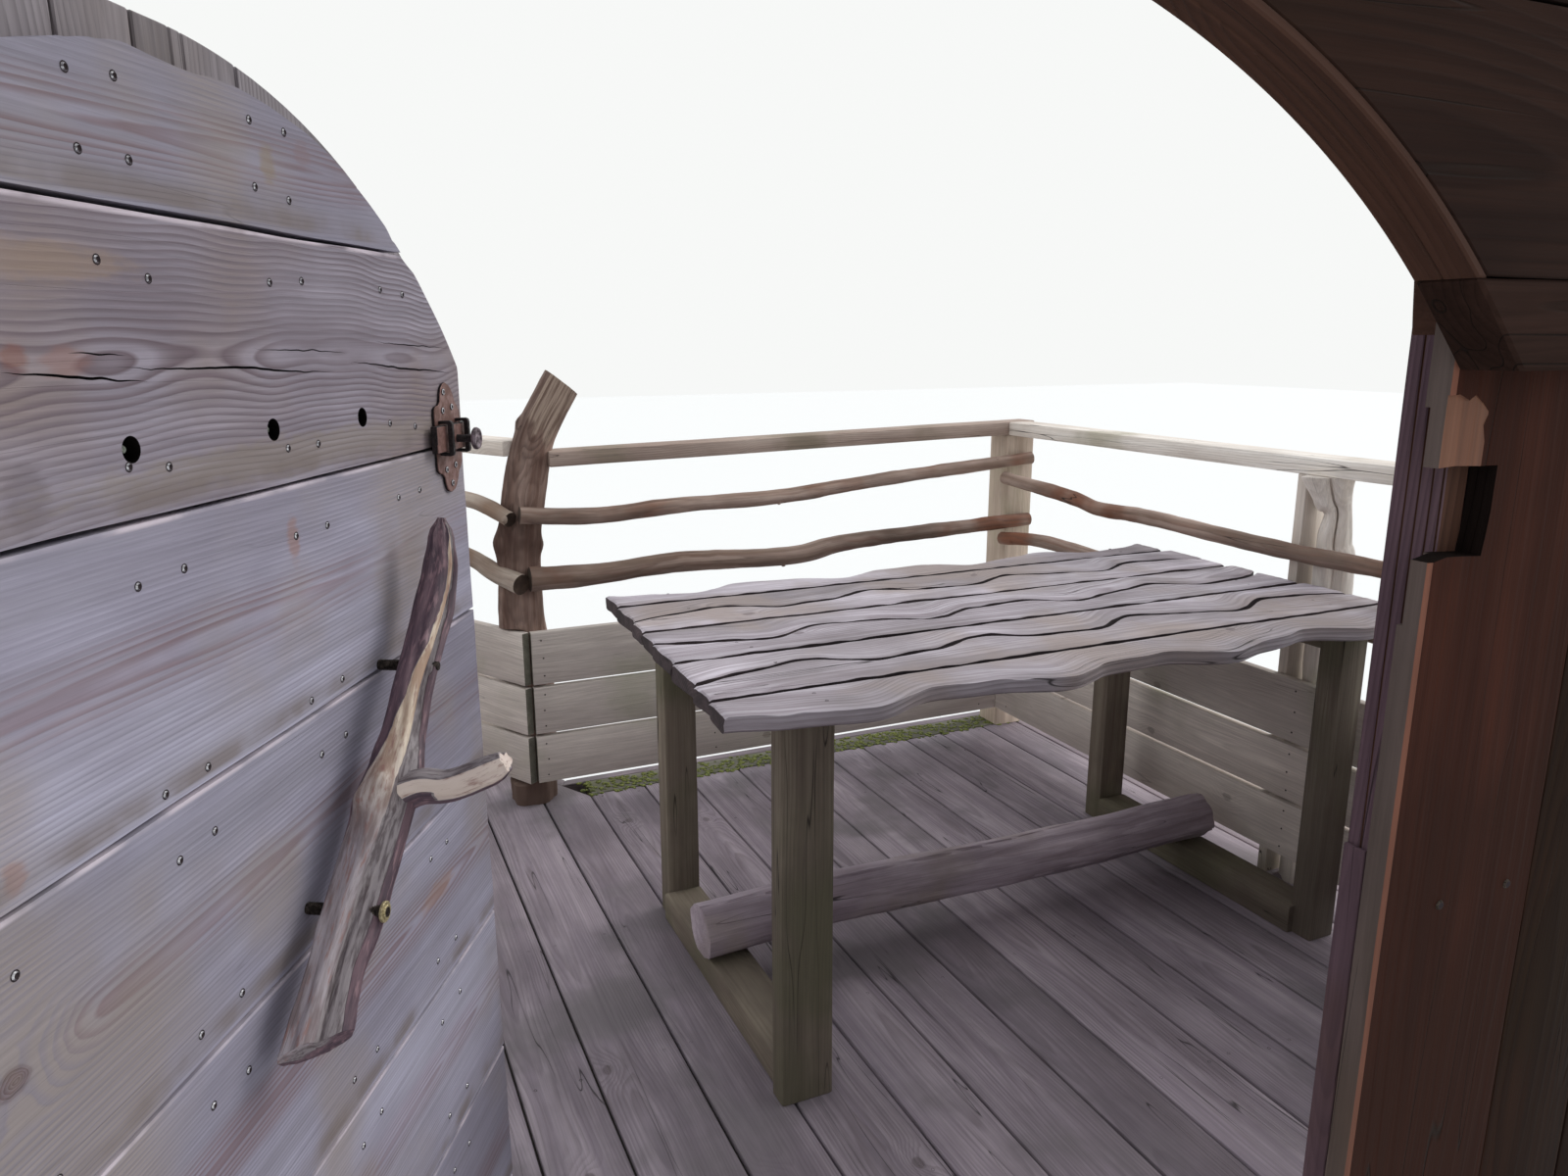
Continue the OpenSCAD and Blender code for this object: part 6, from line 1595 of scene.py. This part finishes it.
def bar(x0, x1, y0, y1, z0, z1, finish, place=on_leaf()):
    return sawn([(x0, z0), (x1, z0), (x1, z1), (x0, z1)], y0, y1, finish, place, wobble=0.0003, longest=0.012)


plate = shade_unlit_sides(sawn([(0.471 + x / 1000, bolt_h - 0.002 + z / 1000) for x, z in plate_line][::-1], leaf_in - 0.004, leaf_in,
                         plate_paint, on_leaf(), wobble=0.0, longest=0.02))
plate_screws = screws([leaf_spot(0.471 + x / 1000, leaf_in - 0.0042, bolt_h - 0.002 + z / 1000)
                       for x, z in ((-9, 56), (-14, 34), (14, 37), (-14, -37), (14, -34), (1, -55))], off_leaf, 0.0042,
                      screw_steel, 7)
loops = []
for x in (0.4445, 0.4955):
    across_leaf = on_leaf() @ Matrix.Translation((x - 0.0028, bolt_h, 0)) @ Matrix(
        ((0, 0, 1, 0), (0, 1, 0, 0), (-1, 0, 0, leaf_in - 0.004), (0, 0, 0, 1)))
    loops.append(sawn([(-0.003, 0.0165), (-0.003, 0.0205), (0.0125, 0.0212), (0.0158, 0.0200), (0.0168, 0.0165), (0.0168, -0.0165),
                       (0.0158, -0.0200), (0.0125, -0.0212), (-0.003, -0.0205), (-0.003, -0.0165), (0.0108, -0.0172),
                       (0.0108, 0.0172)], 0.0, 0.0066, shaded_bolt_iron, across_leaf, wobble=0.0002, longest=0.012))
joined("bolt_back_plate", [plate, plate_screws] + loops, body="door", stands_for=["bolt_plate"], bevel=0.0008)
slide_bar = shade_unlit_sides(bar(0.415, 0.516, leaf_in - 0.013, leaf_in - 0.0052, bolt_h - 0.0158, bolt_h + 0.0158, plate_paint))
knob_x, knob_z = 0.4755, bolt_h - 0.0025
off_the_bar = swing @ at(knob_x, leaf_in - 0.012, knob_z) @ Matrix.Rotation(math.radians(90), 4, "X")
neck = turned([(0.0052, 0.0), (0.0046, 0.002), (0.0046, 0.0205), (0.0062, 0.0225)], shaded_bolt_iron, off_the_bar, 28)
knob = turned([(0.0060, 0.0215), (0.0115, 0.0218), (0.0134, 0.0232), (0.0136, 0.0255), (0.0124, 0.0276), (0.0102, 0.0280),
               (0.0088, 0.0266), (0.0040, 0.0262), (0.0030, 0.0274)], knob_paint, off_the_bar, 40)
joined("bolt_rod", [slide_bar, neck, knob], body="bolt", stands_for=["door_bolt"], bevel=0.0007)

# ---------------------------------------------------------------- table top
# Eight thick live-edge planks lie on the frame, weathered silver grey. Their joints are straight
# and wavy by turns, as the natural edges were fitted, and the ends are left uneven.
table_wood = weathered_wood("table_wood", "#cac2ca", "#a99fa6", "#746c6d", "#78696f", stain="#9d8f8a", stained=0.5,
                            ring_size=0.009, arches=0.10, heart=0.03, knots=0.16, cracks=1.0, figure=0.55, relief=0.0016)
end_grain_and_gap_shade = weathered_wood("end_grain_and_gap_shade", "#57494b", "#3e3437", "#282124", "#2f2628", knots=0.0, cracks=1.0, figure=0.5)
joint_y = [1.045, 1.167, 1.290, 1.399, 1.514, 1.630, 1.746, 1.862, 1.963]
table_under, plank_t, table_gap = 0.776, 0.034, 0.0072


def live_edge(x):
    degrees = math.radians(1000 * (x - 0.75) * 360 / 420)
    return 0.024 * math.sin(degrees) + 0.007 * math.sin(math.radians(1000 * x * 360 / 190 + 40))


def table_edge(n, x):
    wave = live_edge(x) * (1 if n == 0 else 1.1) * (1 if n % 4 == 0 else -1) if n % 2 == 0 else 0.0
    return joint_y[n] + wave


def live_plank(n, stations=150, across=10):
    """One plank of the top: its long edges follow the joints, and its faces and ends are worn."""
    x0, x1 = 0.418 + 0.0064 * n, 2.088 - 0.008 * (1 + math.sin(math.radians(170 * n)))
    section = []
    for k in range(across + 1):
        section.append((k / across, 1.0))
    section += [(1.0, 0.5), (1.0, 0.0)]
    section += [(k / across, 0.0) for k in range(across - 1, -1, -1)]
    section.append((0.0, 0.5))
    worn = 0.0045
    places, grains, faces = [], [], []
    for s in range(stations + 1):
        x = x0 + (x1 - x0) * s / stations
        near, far = table_edge(n, x) + table_gap, table_edge(n + 1, x) - table_gap
        taper = min(s, stations - s)
        for share, up in section:
            y = near + (far - near) * share
            z = table_under + plank_t * up
            side = min(share, 1 - share) * (far - near)
            rag = noise.noise(Vector((x * 23, y * 23, n * 7.1)))
            edge = max(0.0, 1 - side / 0.012)
            if up > 0.9:
                z -= worn * edge ** 2 * (0.55 + 0.45 * rag) + 0.0012 * (1 + noise.noise(Vector((x * 3, y * 5, n))))
                z += 0.0009 * noise.noise(Vector((x * 9, y * 85, n * 3.3))) - (0.003 if taper == 0 else 0.0)
            elif up < 0.1:
                z += (0.006 if n == 0 and share < 0.01 else 0.002) * edge
            push = 0.0022 * rag * (1 if share > 0.5 else -1) * edge if 0.02 < up < 0.98 or edge > 0.9 else 0.0
            x_end = x + (0.005 * noise.noise(Vector((y * 18, z * 30, n + 4.0))) if taper == 0 else 0.0)
            if taper == 0:
                x_end += (0.004 if s == 0 else -0.004) - (0.002 if s else -0.002) * (1 if up > 0.9 or up < 0.1 else 0)
            places.append(tuple(plan(x_end, y + push, z)))
            grains.append((x, y - near, z - table_under))
    count = len(section)
    for s in range(stations):
        for k in range(count):
            k1 = (k + 1) % count
            faces.append((s * count + k, s * count + k1, (s + 1) * count + k1, (s + 1) * count + k))
    faces += [tuple(range(count)), tuple(range(stations * count, (stations + 1) * count))[::-1]]
    mesh = bpy.data.meshes.new("live_plank")
    mesh.from_pydata(places, [], faces)
    mesh.attributes.new("grain", "FLOAT_VECTOR", "POINT").data.foreach_set("vector", [c for g in grains for c in g])
    mesh.attributes.new("board", "FLOAT", "POINT").data.foreach_set("value", [(0.23 + 0.31 * n) % 1] * len(places))
    for finish in (table_wood, end_grain_and_gap_shade):
        mesh.materials.append(finish)
    # Plank ends take the dark end grain; the long sides in the gaps take it as painted shade between the planks.
    for number, face in enumerate(mesh.polygons):
        if number >= stations * count or number % count in (across, across + 1) or n and number % count >= count - 2:
            face.material_index = 1
    work = bmesh.new()
    work.from_mesh(mesh)
    bmesh.ops.recalc_face_normals(work, faces=work.faces[:])
    work.to_mesh(mesh)
    work.free()
    return mesh


leg_x, leg_y, leg_w, sill_h = (0.557, 1.890), (1.138, 1.870), 0.105, 0.070
top_screws = screws([plan(x + dice.uniform(-0.008, 0.008), (joint_y[n] + joint_y[n + 1]) / 2 + off, table_under + plank_t - 0.003)
                     for n in range(8) for x in (leg_x[0] + 0.052, leg_x[1] + 0.052) for off in (-0.022, 0.022)], (0, 0, 1), 0.0042,
                    nail_iron, 15)
joined("table_planks", [live_plank(n) for n in range(8)] + [top_screws], stands_for=["table_top"])

# ---------------------------------------------------------------- table frame
# Four squared legs, green with algae, stand on the deck. A sill on the deck and a bearer under the
# top tie each pair.
legs = [boards(at(x, y, 0) @ upright, leg_wood, table_under, wide, deep, rounding=0.006, uneven=0.0025, seed=101 + n)
        for n, (x, y, wide, deep) in enumerate(((0.547, leg_y[0], 0.105, 0.050), (0.569, leg_y[1], 0.081, 0.063),
                                                (1.917, leg_y[0], 0.078, 0.063), (1.905, leg_y[1], 0.085, 0.063)))]
joined("table_leg_timbers", legs, stands_for=["table_legs"], bevel=0.0015)
sills = [boards(at(x + 0.095, leg_y[0] + 0.050, 0) @ along_y, leg_wood, leg_y[1] - leg_y[0] - 0.050, 0.095, sill_h, rounding=0.006,
                uneven=0.002, seed=106 + n) for n, x in enumerate((leg_x[0], leg_x[1] + 0.01))]
joined("table_sill_timbers", sills, stands_for=["table_sills"], bevel=0.0015)
bearers = [boards(at(x + 0.08, leg_y[0] + 0.050, table_under - 0.07) @ along_y, leg_wood, leg_y[1] - leg_y[0] - 0.050, 0.055, 0.07,
                  rounding=0.004, uneven=0.0, seed=109 + n) for n, x in enumerate((leg_x[0], leg_x[1] + 0.01))]
joined("table_bearer_timbers", bearers, stands_for=["table_bearers"], bevel=0.001)

# ---------------------------------------------------------------- footrest log
# A rough log, checked by the sun, lies across both sills, flattened where it rests.
rest_wood = weathered_wood("rest_wood", "#cec0c9", "#b1a3ad", "#7d6f76", "#7b6665", stain="#96897f", stained=0.4,
                           ring_size=0.006, heart=0.0, arches=0.02, knots=0.25, cracks=1.0, figure=0.4, relief=0.0025)
rest_line = [(0.547, 1.580, 0.127), (0.90, 1.584, 0.132), (1.40, 1.576, 0.124), (1.993, 1.580, 0.127)]


def rest_shape(along, angle):
    split = -0.010 * math.exp(-(turn_between(angle, 95 + 14 * math.sin(4 * along)) / 0.035) ** 2)
    split -= 0.006 * math.exp(-(turn_between(angle, 215 + 20 * math.sin(3 * along + 1)) / 0.03) ** 2)
    flutes = 0.0022 * math.sin(4 * angle + along) + 0.0016 * math.sin(7 * angle + 2 * along)
    return split + flutes + 0.003 * noise.fractal(Vector((along * 5, math.cos(angle) * 2, math.sin(angle) * 2)), 1.0, 2.1, 4)


rest = limb([plan(*p) for p in rest_line], (0.061, 0.0605, 0.059, 0.0575), rest_wood, rest_shape, side=(0, 1, 0), sides=72, step=0.014)
rest_base = plan(0, 0, sill_h + 0.001).z
for vertex in rest.vertices:
    if vertex.co.x < plan(leg_x[0] + leg_w + 0.01, 0).x or vertex.co.x > plan(leg_x[1] - 0.01, 0).x:
        vertex.co.z = max(vertex.co.z, rest_base)
joined("footrest_log", [rest], stands_for=["table_footrest"])

# ---------------------------------------------------------------- what carries the deck
# Log posts stand on the ground under three long beams. Joists cross the beams under the boards,
# slanted braces stiffen each post, and a rim board covers the ends.
rough_log = weathered_wood("rough_log", "#93836f", "#766757", "#52473c", "#5d4c3e", stain="#5c5a42", stained=0.5,
                           ring_size=0.008, heart=0.0, arches=0.03, knots=0.3, cracks=1.0, figure=0.45, relief=0.004)
beam_x, beam_w, beam_high = (-0.90, 0.02, 2.05), 0.12, 0.18
joist_y, joist_w, joist_high = (-0.055, 0.42, 0.90, 1.38, 1.86, 2.34, 2.73, 3.11, 3.465), 0.06, 0.17
beam_top = -board_t - joist_high
post_foots = [(-0.90, 0.15), (0.02, 0.15), (2.05, 0.15), (-0.90, 3.25), (0.02, 3.25), (2.05, 2.60)]


def stem_shape(along, angle):
    flutes = 0.003 * math.sin(5 * angle + 1.3 * along) + 0.002 * math.sin(8 * angle + 2)
    return flutes - 0.004 + 0.006 * noise.fractal(Vector((along * 3, math.cos(angle) * 2, math.sin(angle) * 2)), 1.0, 2.1, 4)


stems = []
for n, (x, y) in enumerate(post_foots):
    foot, head = plan(x, y, -deck_z), plan(x, y, beam_top - beam_high)
    stem = limb([foot, foot.lerp(head, 0.35), foot.lerp(head, 0.7), head], (0.1, 0.097, 0.093, 0.09), rough_log, stem_shape,
                side=(math.cos(n), math.sin(n), 0), sides=48, step=0.03, number=(0.17 + 0.31 * n) % 1)
    stems.append(stem)
joined("log_stems", stems, stands_for=["support_posts"])
beam_parts = [boards(at(x + beam_w / 2, deck_front, beam_top - beam_high) @ along_y, post_wood, (2.77 if n == 2 else 3.49) - deck_front,
                     beam_w, beam_high, rounding=0.005, uneven=0.0, seed=121 + n) for n, x in enumerate(beam_x)]
joined("deck_beam_timbers", beam_parts, stands_for=["deck_beams"], bevel=0.002)
joist_parts = []
landing_edge = plan(corner.x, corner.y) + 0.175 * landing_out
for n, y in enumerate(joist_y):
    joist = boards(at(deck_left, y - joist_w / 2, beam_top), post_wood, deck_right - deck_left, joist_w, joist_high, rounding=0.003,
                   uneven=0.0, seed=131 + n)
    if y > 2.79:
        cut_off(joist, landing_edge, landing_out)
    joist_parts.append(joist)
joined("deck_joist_timbers", joist_parts, stands_for=["deck_joists"], bevel=0.0015)
across_x = Matrix(((0, 0, 1, 0), (1, 0, 0, 0), (0, 1, 0, 0), (0, 0, 0, 1)))
braces = []
for n, (x, y) in enumerate(post_foots):
    way = 1 if n < 3 else -1
    outline = [(0.06 * way, 0.06), (0.42 * way, 0.42), (0.32 * way, 0.42), (0.06 * way, 0.16)]
    braces.append(sawn(outline[::way], -0.035, 0.035, post_wood, at(x, y, beam_top - beam_high - 0.42) @ across_x, 0.15 * n,
                       (0.7071 * way, 0.7071), wobble=0.001))
joined("slanted_braces", braces, stands_for=["knee_braces"], bevel=0.002)
slant = Vector((-landing_out.y, landing_out.x, 0))
edge_start = corner.to_3d() + 0.175 * landing_out
slant_low = edge_start + slant * ((deck_reach - edge_start.y) / slant.y)
slant_high = edge_start + slant * ((landing_reach - edge_start.y) / slant.y)
inner_line = [Vector(p) for p in ((deck_left, deck_front), (deck_right, deck_front), (deck_right, deck_reach),
                                  slant_low.xy, slant_high.xy, (deck_left, landing_reach))]
rim_t, rim_h, corners = 0.0395, 0.15, []
for n, spot in enumerate(inner_line):
    before = (spot - inner_line[n - 1]).normalized()
    after = (inner_line[(n + 1) % 6] - spot).normalized()
    out_before, out_after = Vector((before.y, -before.x)), Vector((after.y, -after.x))
    corners.append(spot + (out_before + out_after) * (rim_t / (1 + out_before.dot(out_after))))
rims = []
for n in range(6):
    m = (n + 1) % 6
    way = (inner_line[m] - inner_line[n]).normalized()
    rims.append(sawn([inner_line[n], corners[n], corners[m], inner_line[m]], -rim_h, -0.0003, deck_wood,
                     Matrix.Translation(plan(0, 0)), 0.16 * n, (way.x, way.y), wobble=0.0004, longest=0.06))
joined("rim_timbers", rims, stands_for=["rim_boards"], bevel=0.003)
